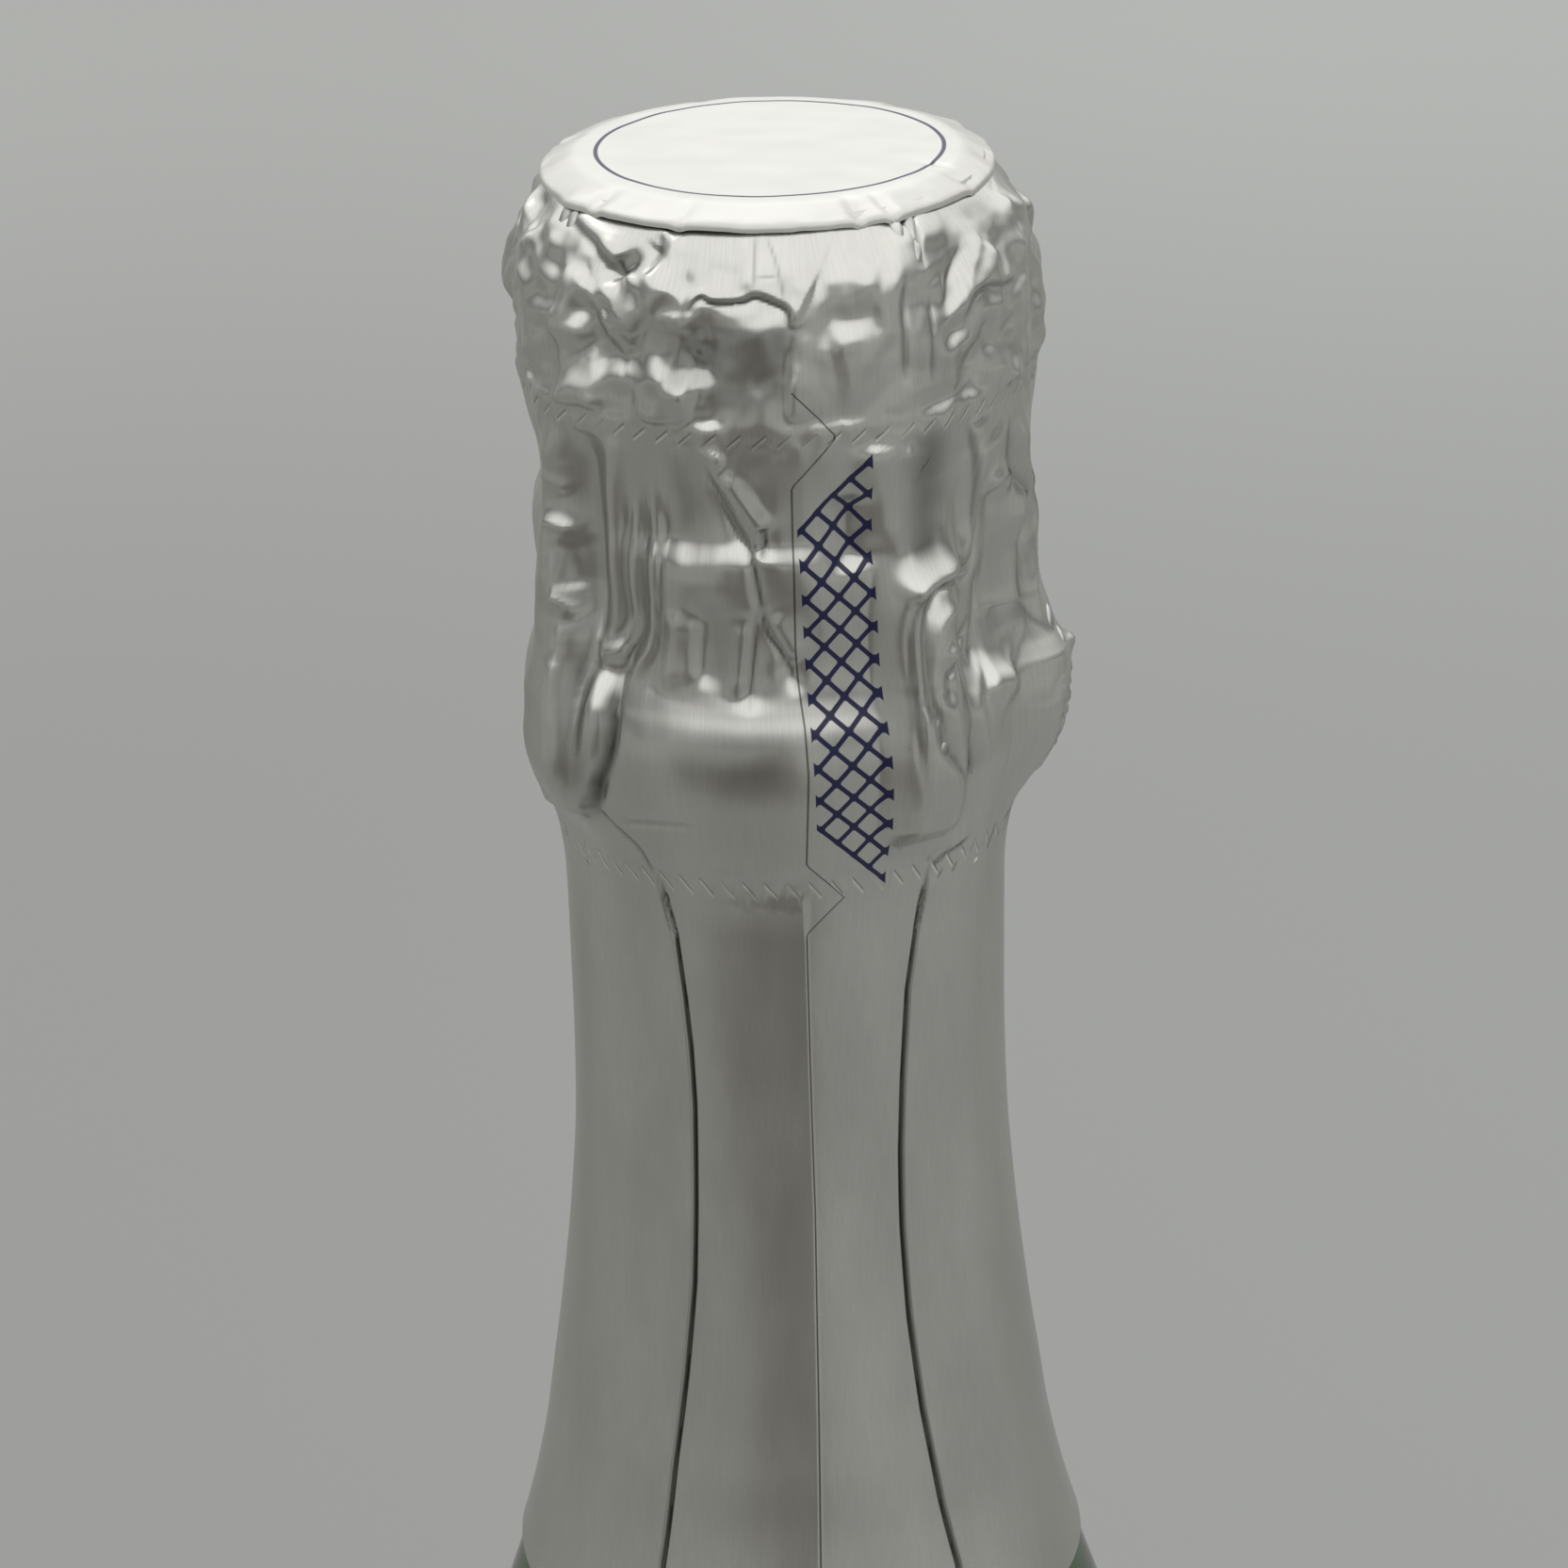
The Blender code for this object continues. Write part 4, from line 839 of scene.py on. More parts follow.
def cavity_outline(inset):
    """The inside of the glass, from the axis over the punt up to the foot of the bore. The wine is inset."""
    wall_radius = BODY_RADIUS - BODY_WALL - inset
    valley = wall_radius - CAVITY_CORNER
    outline = punt_outline(valley, BASE_THICKNESS + inset, PUNT_DEPTH + PUNT_WALL + inset)[::-1]
    outline += arc(valley, BASE_THICKNESS + inset + CAVITY_CORNER, CAVITY_CORNER, -90, 0, 6)[1:]
    for radius, height in shoulder_outline(3)[::-1]:
        if height < DEEP_BORE:
            share = (height - SHOULDER_HEIGHT) / (DEEP_BORE - SHOULDER_HEIGHT)
            outline.append((radius - (BODY_WALL + (NECK_WALL - BODY_WALL) * share) - inset, height))
    outline.append((DEEP_BORE_RADIUS - inset, DEEP_BORE))
    return outline


def finish_outline():
    """Lip, crown bead, recess and collar ring, down to the neck."""
    bead, bead_round, collar, collar_round, under_round = (v * MM for v in (14.4, 2.2, 17.4, 2.0, 1.2))
    bead_bottom, recess, slope = MOUTH - 8 * MM, 13.2 * MM, 0.9 * MM
    collar_top, collar_bottom = MOUTH - 11 * MM, MOUTH - 17 * MM
    outline = arc(BORE_RADIUS + LIP_ROUND, MOUTH - LIP_ROUND, LIP_ROUND, 180, 90, 4)
    outline += arc(bead - bead_round, MOUTH - bead_round, bead_round, 90, 0, 8)
    outline += arc(bead - bead_round, bead_bottom + bead_round, bead_round, 0, -90, 6)
    outline += [(recess, bead_bottom - slope), (recess, collar_top + slope)]
    outline += arc(collar - collar_round, collar_top - collar_round, collar_round, 90, 0, 8)
    outline += arc(collar - under_round, collar_bottom + under_round, under_round, 0, -90, 6)
    outline.append((NECK_RADIUS + MM, collar_bottom))
    return outline


def glass_finish():
    chosen = settings_of("bottle_glass")
    recipe = Finish("dark_green_glass")
    spots = recipe.object_space()
    waves = recipe.noise(recipe.scaled(spots, (1, 1, 0.35)), 38.0, 2.0)
    recipe.set(Base_Color=shade_of(chosen.colour), Roughness=0.02, IOR=1.52, Transmission_Weight=0.96)
    return recipe.bump(waves, 0.2, 0.35 * MM).material


def make_glass():
    chosen = settings_of("bottle_glass")
    ring = BODY_RADIUS - HEEL_RADIUS
    outline = cavity_outline(0.0) + [(BORE_RADIUS, STRAIGHT_BORE)] + finish_outline() + shoulder_outline(5)
    outline += arc(ring, HEEL_RADIUS, HEEL_RADIUS, 0, -90, 8)
    outline += punt_outline(ring - BASE_RING, 0, PUNT_DEPTH)
    glass = turned("bottle_glass_body", outline, chosen.steps)
    finished(glass, glass_finish(), "bottle", "bottle_glass", "glass_bottle")


def make_wine():
    chosen = settings_of("bottle_glass")
    level = chosen.wine_level
    outline = [point for point in cavity_outline(WINE_GAP) if point[1] < level]
    outline += [(DEEP_BORE_RADIUS - WINE_LEVEL_INSET, level), (0.0, level)]
    wine = turned("wine", outline, chosen.steps // 2)
    finish = Finish("pale_wine").set(Base_Color=shade_of(chosen.wine_colour), Roughness=0.0, IOR=1.34,
                                     Transmission_Weight=0.9)
    finished(wine, finish.material, "bottle", "bottle_glass")


class BOTTLE_OT_glass(bpy.types.Operator):
    """Turns the punted glass bottle and its wine"""
    bl_idname = "bottle.glass"
    bl_label = "Glass and wine"

    def execute(self, context):
        make_glass()
        make_wine()
        return {"FINISHED"}


# Cork

CORK_RADIUS = 8.6 * MM
CORK_BASE = MOUTH + 0.3 * MM
HEAD_EDGE = 0.7 * MM
DISC_EDGE = 0.5 * MM
# Shares of the way out from the shank to the head's edge, and of the way up from its base to its top
HEAD_SHARES = ((0.75, 0.985), (0.90, 0.94), (0.965, 0.85), (1.0, 0.62), (1.0, 0.42), (0.93, 0.22),
               (0.74, 0.09), (0.45, 0.02), (0.0, 0.0))
SHANK_RINGS = 14
CORK_WEAR, DISC_WEAR = (0.10 * MM, 900.0), (0.05 * MM, 1200.0)
GRAINS_PER_METRE = 620.0
DARK_CORK_SHARE = 0.42
GLUE_COLOUR = (0.10, 0.055, 0.03, 1)


def pressed_cork_finish():
    """Grains of cork pressed together, with dark glue between them."""
    colour = settings_of("closure").cork_colour
    recipe = Finish("agglomerated_cork")
    spots = recipe.object_space()
    cells = recipe.cells(spots, GRAINS_PER_METRE)
    tint = recipe.ramp(recipe.split(cells["Color"])[0], 0.1, 0.9)
    grains = recipe.mix(tint, shade_of(colour, DARK_CORK_SHARE), shade_of(colour))
    edges = recipe.cells(spots, GRAINS_PER_METRE, "DISTANCE_TO_EDGE")["Distance"]
    glued = recipe.mix(recipe.ramp(edges, 0.0, 0.09, 0.55, 0.0), grains, GLUE_COLOUR)
    recipe.set(Base_Color=glued, Roughness=0.82)
    return recipe.bump(recipe.ramp(edges, 0.0, 0.2), 0.6, 0.12 * MM).material


def natural_cork_finish():
    """Natural cork with fine vertical pores."""
    colour = settings_of("closure").cork_colour
    recipe = Finish("natural_cork")
    pores = recipe.noise(recipe.scaled(recipe.object_space(), (1, 1, 0.2)), 900.0, 4.0)
    pored = recipe.mix(recipe.ramp(pores, 0.56, 0.68), shade_of(colour), shade_of(colour, DARK_CORK_SHARE))
    recipe.set(Base_Color=pored, Roughness=0.8)
    return recipe.bump(pores, 0.4, 0.1 * MM).material


def worn(piece, depth, scale):
    """Small unevenness of a cork's surface, moved along its own normals."""
    mesh = piece.data
    mesh.update()
    for vertex in mesh.vertices:
        grain = noise.noise(vertex.co * scale)
        vertex.co = vertex.co + vertex.normal * (min(grain, 0) * depth)
    return piece


def make_cork_mushroom():
    spread, rise = CORK_HIGH.x - CORK_RADIUS, CORK_HIGH.z - CORK_BASE
    side = [(CORK_RADIUS + out * spread, CORK_BASE + up * rise) for out, up in HEAD_SHARES]
    outline = [(0.0, CORK_HIGH.z), (side[0][0] - HEAD_EDGE, CORK_HIGH.z)]
    outline += [tuple(point) for point in smooth_line(side, 4)]
    outline += [(CORK_RADIUS, height) for height in np.linspace(CORK_BASE, CORK_LOW.z, SHANK_RINGS)[1:]]
    outline.append((0.0, CORK_LOW.z))
    cork = worn(turned("cork_mushroom", outline, 120), *CORK_WEAR)
    finished(cork, pressed_cork_finish(), "cork", "agglomerated_cork", "cork_body")


def make_cork_discs():
    natural = natural_cork_finish()
    flat = CORK_RADIUS - DISC_EDGE
    for node in ("cork_disc_outer", "cork_disc_inner"):
        low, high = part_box(node)
        outline = [(0.0, high.z), (flat, high.z), (CORK_RADIUS, high.z - DISC_EDGE),
                   (CORK_RADIUS, low.z + DISC_EDGE), (flat, low.z), (0.0, low.z)]
        disc = worn(turned(node + "_round", outline, 96), *DISC_WEAR)
        finished(disc, natural, "cork", "natural_cork", node)


class BOTTLE_OT_cork(bpy.types.Operator):
    """Turns the mushroom cork and the two natural discs glued under it"""
    bl_idname = "bottle.cork"
    bl_label = "Cork"

    def execute(self, context):
        make_cork_mushroom()
        make_cork_discs()
        return {"FINISHED"}


# Plaque and wires

CAGE_WIRE = 0.5 * MM
BELT_WIRE = 0.5 * MM
RING_RADIUS = 12.5 * MM
RING_HEIGHT = 321.4 * MM
BELT_HEIGHT = 281.0 * MM
EYELET_RADIUS = 1.3 * MM
BELT_LEG_RADIUS = 17.16 * MM
BELT_SLACK = 0.6 * MM
EYELET_WIRE = 0.45 * MM
RING_STEPS = range(0, 360, 3)
STUB_REACH = (16.9 * MM, 17.75 * MM)
PLAQUE_WALL, PLAQUE_STEP, PLAQUE_DISH, PLAQUE_ROUND = 0.3 * MM, 0.5 * MM, 0.12 * MM, 1.2 * MM
SKIRT_FLARE, SKIRT_FLARE_HEIGHT = 0.12 * MM, 0.5 * MM
# Length from the ring over which a leg's two wires run side by side, before their twist
LEG_STRAIGHT = 4.4 * MM
# Routes of the wires, in millimetres, as (radius, height)
LEG_ROUTE = (
    (12.5, 321.4), (14.0, 321.4), (15.2, 320.95), (15.84, 319.9), (16.2, 318.1), (16.2, 310.0),
    (16.1, 300.0), (16.1, 296.0), (16.6, 292.0), (17.8, 290.0), (18.8, 287.0), (18.8, 285.0), (18.46, 282.3),
)
STEM_ROUTE = ((19.2, 281.0), (19.2, 284.5), (19.2, 288.0), (17.7, 290.75), (16.1, 293.5))
LOOP_FOOT = (16.09, 294.35)
LOOP_TOP = (15.815, 306.85)
LOOP_WIDTH = 7.5 * MM
LOOP_SHARES = ((0.0, 0.0), (0.42, 0.13), (0.78, 0.33), (0.98, 0.56), (0.93, 0.76), (0.66, 0.92),
               (0.30, 0.985), (0.0, 1.0))


def plaque_finish():
    chosen = settings_of("closure")
    recipe = Finish("lacquered_tinplate")
    brush = recipe.noise(recipe.scaled(recipe.object_space(), (1, 30, 1)), 260.0, 3.0)
    bright, dull = shade_of(chosen.plaque_colour), shade_of(chosen.plaque_colour, 0.9)
    recipe.set(Base_Color=recipe.mix(recipe.ramp(brush, 0.3, 0.7), dull, bright), Metallic=1.0,
               Roughness=recipe.ramp(brush, 0.2, 0.8, 0.22, 0.36), Coat_Weight=0.4)
    return recipe.bump(brush, 0.15, 0.03 * MM).material


def wire_finish():
    chosen = settings_of("closure")
    recipe = Finish("drawn_wire")
    stain = recipe.noise(recipe.object_space(), 420.0, 4.0)
    bright, dull = shade_of(chosen.wire_colour), shade_of(chosen.wire_colour, 0.62)
    recipe.set(Base_Color=recipe.mix(recipe.ramp(stain, 0.35, 0.7), bright, dull), Metallic=1.0,
               Roughness=recipe.ramp(stain, 0.3, 0.7, 0.2, 0.38))
    return recipe.bump(stain, 0.2, 0.03 * MM).material


def evenly(points, spacing):
    fine = smooth_line(points, 14)
    lengths = np.concatenate([[0], np.cumsum(np.linalg.norm(np.diff(fine, axis=0), axis=1))])
    count = max(3, round(lengths[-1] / spacing))
    wanted = np.linspace(0, lengths[-1], count + 1)
    return np.stack([np.interp(wanted, lengths, fine[:, axis]) for axis in range(3)], axis=1)


def twisted(name, route, radius, sideways, straight=0.0):
    """Two wires twisted round a route, side by side up to a straight length."""
    pitch = settings_of("closure").twist_pitch
    route = evenly(route, 0.28 * MM)
    travelled = np.concatenate([[0], np.cumsum(np.linalg.norm(np.diff(route, axis=0), axis=1))])
    ahead = np.gradient(route, axis=0)
    ahead /= np.linalg.norm(ahead, axis=1)[:, None]
    sideways = np.asarray(sideways, float)
    out = np.cross(ahead, sideways)
    out /= np.linalg.norm(out, axis=1)[:, None]
    beside = np.cross(out, ahead)
    turn = 2 * math.pi * np.maximum(travelled - straight, 0) / pitch
    offset = beside * np.cos(turn)[:, None] + out * np.sin(turn)[:, None]
    pieces = []
    for side in (1, -1):
        pieces.append(tube(f"{name}_{side}", route + offset * (side * radius * 1.02), radius))
    return pieces


def belt_radius(azimuth):
    turn = math.radians(len(LEG_AZIMUTHS) * (azimuth - LEG_AZIMUTHS[0]))
    return BELT_LEG_RADIUS - BELT_SLACK * (1 - math.cos(turn)) / 2


def make_plaque():
    """The stamped cap: a lowered middle, a raised ring, and a rounded skirt that flares at its foot."""
    low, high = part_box("muselet_plaque")
    rim, top = high.x, high.z
    land = top - PLAQUE_STEP
    face = [(0.0, top - PLAQUE_DISH), (7.6 * MM, top - PLAQUE_DISH), (8.4 * MM, top), (10.0 * MM, top),
            (10.9 * MM, land)]
    skirt = arc(rim - PLAQUE_ROUND, land - PLAQUE_ROUND, PLAQUE_ROUND, 90, 0, 8)
    skirt += [(rim, low.z + SKIRT_FLARE_HEIGHT), (rim + SKIRT_FLARE, low.z)]
    inner_skirt = [(radius - PLAQUE_WALL, height) for radius, height in reversed(skirt)]
    under_face = [(radius, height - PLAQUE_WALL) for radius, height in reversed(face)]
    plaque = turned("stamped_plaque", face + skirt + inner_skirt + under_face, 144)
    finished(plaque, plaque_finish(), "muselet", "plaque", "muselet_plaque")


def upright_route(outline, azimuth):
    """A route in the upright plane at an azimuth, from (radius, height) pairs in millimetres."""
    return [around(radius * MM, azimuth, height * MM) for radius, height in outline]


def make_cage(wire):
    """The top ring, and four twisted legs that end in eyelets."""
    ring = [around(RING_RADIUS, azimuth, RING_HEIGHT) for azimuth in RING_STEPS]
    pieces = [tube("cage_ring", ring, CAGE_WIRE, cyclic=True)]
    loop = arc(BELT_LEG_RADIUS, BELT_HEIGHT, EYELET_RADIUS, 0, 360, 28)[1:]
    for azimuth in LEG_AZIMUTHS:
        route = upright_route(LEG_ROUTE, azimuth)
        pieces += twisted("leg", route, CAGE_WIRE, around(1, azimuth + 90, 0), LEG_STRAIGHT)
        eyelet = [around(radius, azimuth, height) for radius, height in loop]
        pieces.append(tube("eyelet", eyelet, EYELET_WIRE, cyclic=True))
    finished(joined("wire_cage", pieces), wire, "muselet", "muselet_wire", "muselet_cage")


def make_belt(wire):
    """The wire through the eyelets, with its ends twisted to a stub that points at the key's foot."""
    belt = [around(belt_radius(azimuth), azimuth, BELT_HEIGHT) for azimuth in RING_STEPS]
    stub = [around(radius, KEY_AZIMUTH, BELT_HEIGHT) for radius in np.linspace(*STUB_REACH, 5)]
    pieces = [tube("belt", belt, BELT_WIRE, cyclic=True), *twisted("stub", stub, BELT_WIRE, (0, 0, 1))]
    finished(joined("belt_ring", pieces), wire, "muselet", "muselet_wire", "belt_wire")


def make_key(wire):
    """The twist bent up over the collar, and the teardrop loop at its end."""
    side = around(1, KEY_AZIMUTH + 90, 0)
    stem = joined("key_twist", twisted("stem", upright_route(STEM_ROUTE, KEY_AZIMUTH), BELT_WIRE, side))
    finished(stem, wire, "key", "muselet_wire", "key_stem")
    foot, crown = upright_route((LOOP_FOOT, LOOP_TOP), KEY_AZIMUTH)
    middle = [foot.lerp(crown, up) for out, up in LOOP_SHARES]
    aside = [side * (out * LOOP_WIDTH / 2) for out, up in LOOP_SHARES]
    rising = smooth_line([spot + reach for spot, reach in zip(middle, aside)], 6)
    falling = smooth_line([spot - reach for spot, reach in zip(middle, aside)][::-1], 6)
    loop = tube("key_teardrop", [*rising[:-1], *falling[:-1]], BELT_WIRE, cyclic=True)
    finished(loop, wire, "key_grip", "muselet_wire", "key_loop")


class BOTTLE_OT_wires(bpy.types.Operator):
    """Makes the stamped plaque, the wire cage, the belt wire and its twisted key"""
    bl_idname = "bottle.wires"
    bl_label = "Plaque and wires"

    def execute(self, context):
        make_plaque()
        wire = wire_finish()
        make_cage(wire)
        make_belt(wire)
        make_key(wire)
        return {"FINISHED"}


# Foil

TEETH = 68
TOOTH = 2 * math.pi * UNROLL_RADIUS / TEETH
SLIT_SHARE = 0.62
UPPER_RISE, LOWER_RISE = -0.9, 1.35
PERFORATIONS = ((UPPER_TEAR, UPPER_RISE), (LOWER_TEAR, LOWER_RISE))
# Half widths at which the painted lines start and end to fade, and how far the painted highlight on a slit's
# lip lies below its slit
SLIT_LINE, LIP_LINE, SEAM_LINE = (0.03, 0.075), (0.05, 0.12), (0.04, 0.10)
LIP_BELOW = 0.16
# Shares of the foil's brightness left by the painted shade where its layer is full and in a slit, the
# brightening by the painted highlight on the slit's lip, and the share left by the painted shade at the
# seam's edge
CREASE_LIGHT, SLIT_LIGHT, LIP_LIGHT, SEAM_LIGHT = 0.18, 0.55, 1.35, 0.30
FOIL_METAL, DISC_METAL = 0.97, 0.45
LATTICE_WIDTH = 1.15
LATTICE_TOP = (850, 563)
LATTICE_FOOT = (871, 881)
LATTICE_ROWS = 18
LATTICE_HALF = 2.0
STROKE = 0.175
PRINTED_RING = 11.71 * MM
PRINTED_RING_LINE = (0.12 * MM, 0.17 * MM)
DISC_SHADOW = (0.25, 0.24, 0.22, 1)
# Grids: columns to a tooth in front and behind, and how far the front goes in degrees, then the rows
CAP_COLUMNS, BAND_COLUMNS, SLEEVE_COLUMNS = (8, 6, 100), (7, 3, 97), (5, 5, 180)
CAP_ROWS, BAND_ROWS, SLEEVE_ROWS = 82, 136, 140
# Folds behind, as their number and strength
CAP_BACK, BAND_BACK = (46, 1.1), (26, 0.9)
# Folds beside a leg, in millimetres, as (distance from it, kind, half width, height)
LEG_FOLDS = ((-3.4, "valley", 0.34, 0.24), (-2.5, "ridge", 0.34, 0.2), (-4.6, "ridge", 0.5, 0.18),
             (3.3, "valley", 0.32, 0.24), (2.5, "ridge", 0.32, 0.18), (4.4, "ridge", 0.45, 0.2))
# Heights down such a fold, and the shares of its distance from the leg there
LEG_FOLD_SHARES = ((305.0, 0.8), (295.0, 1.0), (287.0, 0.75), (279.0, 0.45))
# The disc's outline in millimetres, as (radius, depth below its top), and where its brim starts along it
DISC_OUTLINE = ((0.0, 0.0), (6.0, 0.0), (11.0, 0.0), (12.7, 0.02), (13.4, 0.14), (14.1, 0.38),
                (14.8, 0.66), (15.2, 0.86), (15.36, 1.06), (15.38, 1.36))
DISC_FLAT = 12.4
DISC_SHIFT = -0.2
# Dents of the brim, as (azimuth, radius from which it is full, half width, depth)
DISC_DENTS = ((23.0, 14.6, 0.45, 0.30), (31.0, 14.8, 0.35, 0.26), (-22.0, 14.7, 0.5, 0.20),
              (62.0, 14.2, 0.6, 0.22), (-48.0, 14.8, 0.6, 0.32), (140.0, 14.7, 0.5, 0.28),
              (200.0, 14.6, 0.5, 0.25), (250.0, 14.7, 0.6, 0.3))


def tooth_edge(across, level, rise):
    """The edge of a perforation: slits that fall to the right by a rise, and bridges that join them."""
    share = np.mod(across / TOOTH + 1e-6, 1.0)
    along = np.where(share < SLIT_SHARE, share / SLIT_SHARE, (1 - share) / (1 - SLIT_SHARE))
    return level + rise * (along - 0.5)


def tear_dashes(recipe, axes, level, rise):
    """The slits of a perforation: 1 on the shade line painted in them, and 1 on the highlight painted on the
    lip under it.
    """
    share = recipe.math("FRACT", recipe.math("DIVIDE", axes[0], TOOTH))
    line = recipe.math("MULTIPLY_ADD", share, rise / SLIT_SHARE, level - rise / 2)
    gap = recipe.minus(recipe.times(axes[1], -1.0), line)
    gap = recipe.times(gap, 1 / math.hypot(1, rise / (SLIT_SHARE * TOOTH)))
    along = recipe.times(recipe.fade(share, SLIT_SHARE - 0.05, SLIT_SHARE), recipe.ramp(share, 0.0, 0.05))
    patchy = recipe.noise(recipe.scaled(recipe.unrolled(), (0.35, 0.35, 1)), 1.0, 1.0)
    along = recipe.times(along, recipe.ramp(patchy, 0.32, 0.56, 0.15, 1.0))
    painted_dark = recipe.fade(recipe.size_of(gap), *SLIT_LINE)
    bright = recipe.fade(recipe.size_of(recipe.minus(gap, LIP_BELOW)), *LIP_LINE)
    return recipe.times(painted_dark, along), recipe.times(bright, along)


def seam_line(recipe, axes):
    """1 on the thin edge of the foil's lap, where a line of shade is painted, and which the perforations
    cross at two arrows.
    """
    line = on_hood(SEAM_PIXELS)
    low, high = line.min(0), line.max(0)
    shares = (line - low) / (high - low)
    down = recipe.times(axes[1], -1.0)
    made = recipe.node("ShaderNodeFloatCurve")
    curve = made.mapping.curves[0]
    curve.points[0].location = shares[0][::-1]
    curve.points[1].location = shares[-1][::-1]
    for across_share, down_share in shares[1:-1]:
        curve.points.new(down_share, across_share)
    for point in curve.points:
        point.handle_type = "VECTOR"
    made.mapping.update()
    recipe.give(made.inputs["Value"], recipe.ramp(down, float(low[1]), float(high[1]), 0.0, 1.0, "LINEAR"))
    found = recipe.math("MULTIPLY_ADD", made.outputs[0], float(high[0] - low[0]), float(low[0]))
    gap = recipe.size_of(recipe.minus(axes[0], found))
    below = recipe.ramp(down, float(low[1]) - 0.05, float(low[1]))
    return recipe.times(recipe.fade(gap, *SEAM_LINE), below)


def foil_bump(recipe):
    """The rolled metal's fine vertical grain and grain of its lacquer."""
    sheet = recipe.unrolled()
    grain = recipe.noise(recipe.scaled(sheet, (5.0, 0.5, 1)), 1.0, 3.0)
    speckle = recipe.noise(sheet, 7.0, 2.0)
    mixed = recipe.plus(grain, recipe.times(speckle, 0.35))
    return recipe.bump(mixed, 0.06, 0.02 * MM)


def lattice_ink(recipe):
    """The lattice printed on the tear band: 1 on its strokes."""
    top, foot = on_hood([LATTICE_TOP, LATTICE_FOOT])
    axes = recipe.split(recipe.unrolled())
    drop = recipe.minus(recipe.times(axes[1], -1.0), float(top[1]))
    lean = float((foot[0] - top[0]) / (foot[1] - top[1]))
    cell = float((foot[1] - top[1]) / LATTICE_ROWS)
    shifted = recipe.minus(axes[0], recipe.times(drop, lean))
    across = recipe.math("DIVIDE", recipe.minus(shifted, float(top[0])), LATTICE_WIDTH)
    across = recipe.minus(across, LATTICE_HALF)
    up = recipe.math("DIVIDE", drop, -cell)

    def to_even(value):
        turned_by = recipe.math("FLOORED_MODULO", recipe.plus(value, 1.0), 2.0)
        return recipe.size_of(recipe.minus(turned_by, 1.0))

    rising = to_even(recipe.minus(across, up))
    falling = to_even(recipe.plus(across, up))
    scale = LATTICE_WIDTH * cell / math.hypot(LATTICE_WIDTH, cell)
    line = recipe.times(recipe.math("MINIMUM", rising, falling), scale)
    knot = recipe.times(recipe.math("MAXIMUM", rising, falling), scale)
    stroke = recipe.fade(line, STROKE - 0.03, STROKE + 0.03)
    dot = recipe.fade(knot, STROKE + 0.05, STROKE + 0.11)
    ink = recipe.math("MAXIMUM", stroke, dot)
    edge = LATTICE_HALF + STROKE / scale
    past_edge = edge + 0.05
    sides = recipe.fade(recipe.size_of(across), edge, past_edge)
    above = recipe.fade(recipe.minus(up, across), edge, past_edge)
    below = recipe.ramp(recipe.plus(up, across), -LATTICE_ROWS - past_edge, -LATTICE_ROWS - edge)
    inside = recipe.math("MINIMUM", recipe.math("MINIMUM", above, below), sides)
    return recipe.math("MINIMUM", ink, inside)


def foil_finish(name, printed=False, roughness=0.27):
    chosen = settings_of("foil")
    recipe = Finish(name)
    sheet = recipe.unrolled()
    cloud = recipe.noise(recipe.scaled(sheet, (0.16, 0.05, 1)), 1.0, 3.0)
    grain = recipe.noise(recipe.scaled(sheet, (6.0, 0.4, 1)), 1.0, 2.0)
    tone = recipe.plus(recipe.ramp(cloud, 0.3, 0.7, 0.94, 1.04), recipe.ramp(grain, 0.3, 0.7, -0.03, 0.03))
    # Painted shade from the sheet's layer, then at each perforation a painted shade line in the slits and a
    # painted highlight on their lips, and a painted shade line at the seam's edge
    lit = recipe.times(tone, recipe.between(recipe.attribute("painted_shade_layer"), 1.0, CREASE_LIGHT))
    axes = recipe.split(sheet)
    for level, rise in PERFORATIONS:
        painted_dark, bright = tear_dashes(recipe, axes, float(down_at(level)), rise)
        lit = recipe.times(lit, recipe.between(painted_dark, 1.0, SLIT_LIGHT))
        lit = recipe.times(lit, recipe.between(bright, 1.0, LIP_LIGHT))
    lit = recipe.times(lit, recipe.between(seam_line(recipe, axes), 1.0, SEAM_LIGHT))
    colour = recipe.mix(1.0, shade_of(chosen.colour), recipe.grey(lit), "MULTIPLY")
    metallic = FOIL_METAL
    if printed:
        ink = lattice_ink(recipe)
        colour = recipe.mix(ink, colour, shade_of(chosen.print_colour))
        metallic = recipe.between(ink, FOIL_METAL, 0.0)
    rough = recipe.ramp(cloud, 0.3, 0.7, roughness - 0.03, roughness + 0.04)
    recipe.set(Base_Color=colour, Metallic=metallic, Roughness=rough)
    return foil_bump(recipe).material


def disc_finish():
    """Pale satin disc with a thin printed ring, and the shade painted on its brim and dents."""
    chosen = settings_of("foil")
    recipe = Finish("top_disc_foil")
    spots = recipe.object_space()
    gap = recipe.size_of(recipe.minus(recipe.off_axis(recipe.split(spots)), PRINTED_RING))
    ink = recipe.fade(gap, *PRINTED_RING_LINE)
    tone = recipe.noise(spots, 160.0, 3.0)
    pale = shade_of(chosen.disc_colour)
    base = recipe.mix(recipe.ramp(tone, 0.3, 0.7), shade_of(chosen.disc_colour, 0.97), pale)
    # Painted shade, mixed towards the shadow colour
    base = recipe.mix(recipe.times(recipe.attribute("painted_shade_layer"), 0.7), base, DISC_SHADOW)
    recipe.set(Base_Color=recipe.mix(ink, base, shade_of(chosen.print_colour)),
               Metallic=recipe.between(ink, DISC_METAL, 0.0), Roughness=0.36)
    return recipe.bump(tone, 0.08, 0.03 * MM).material


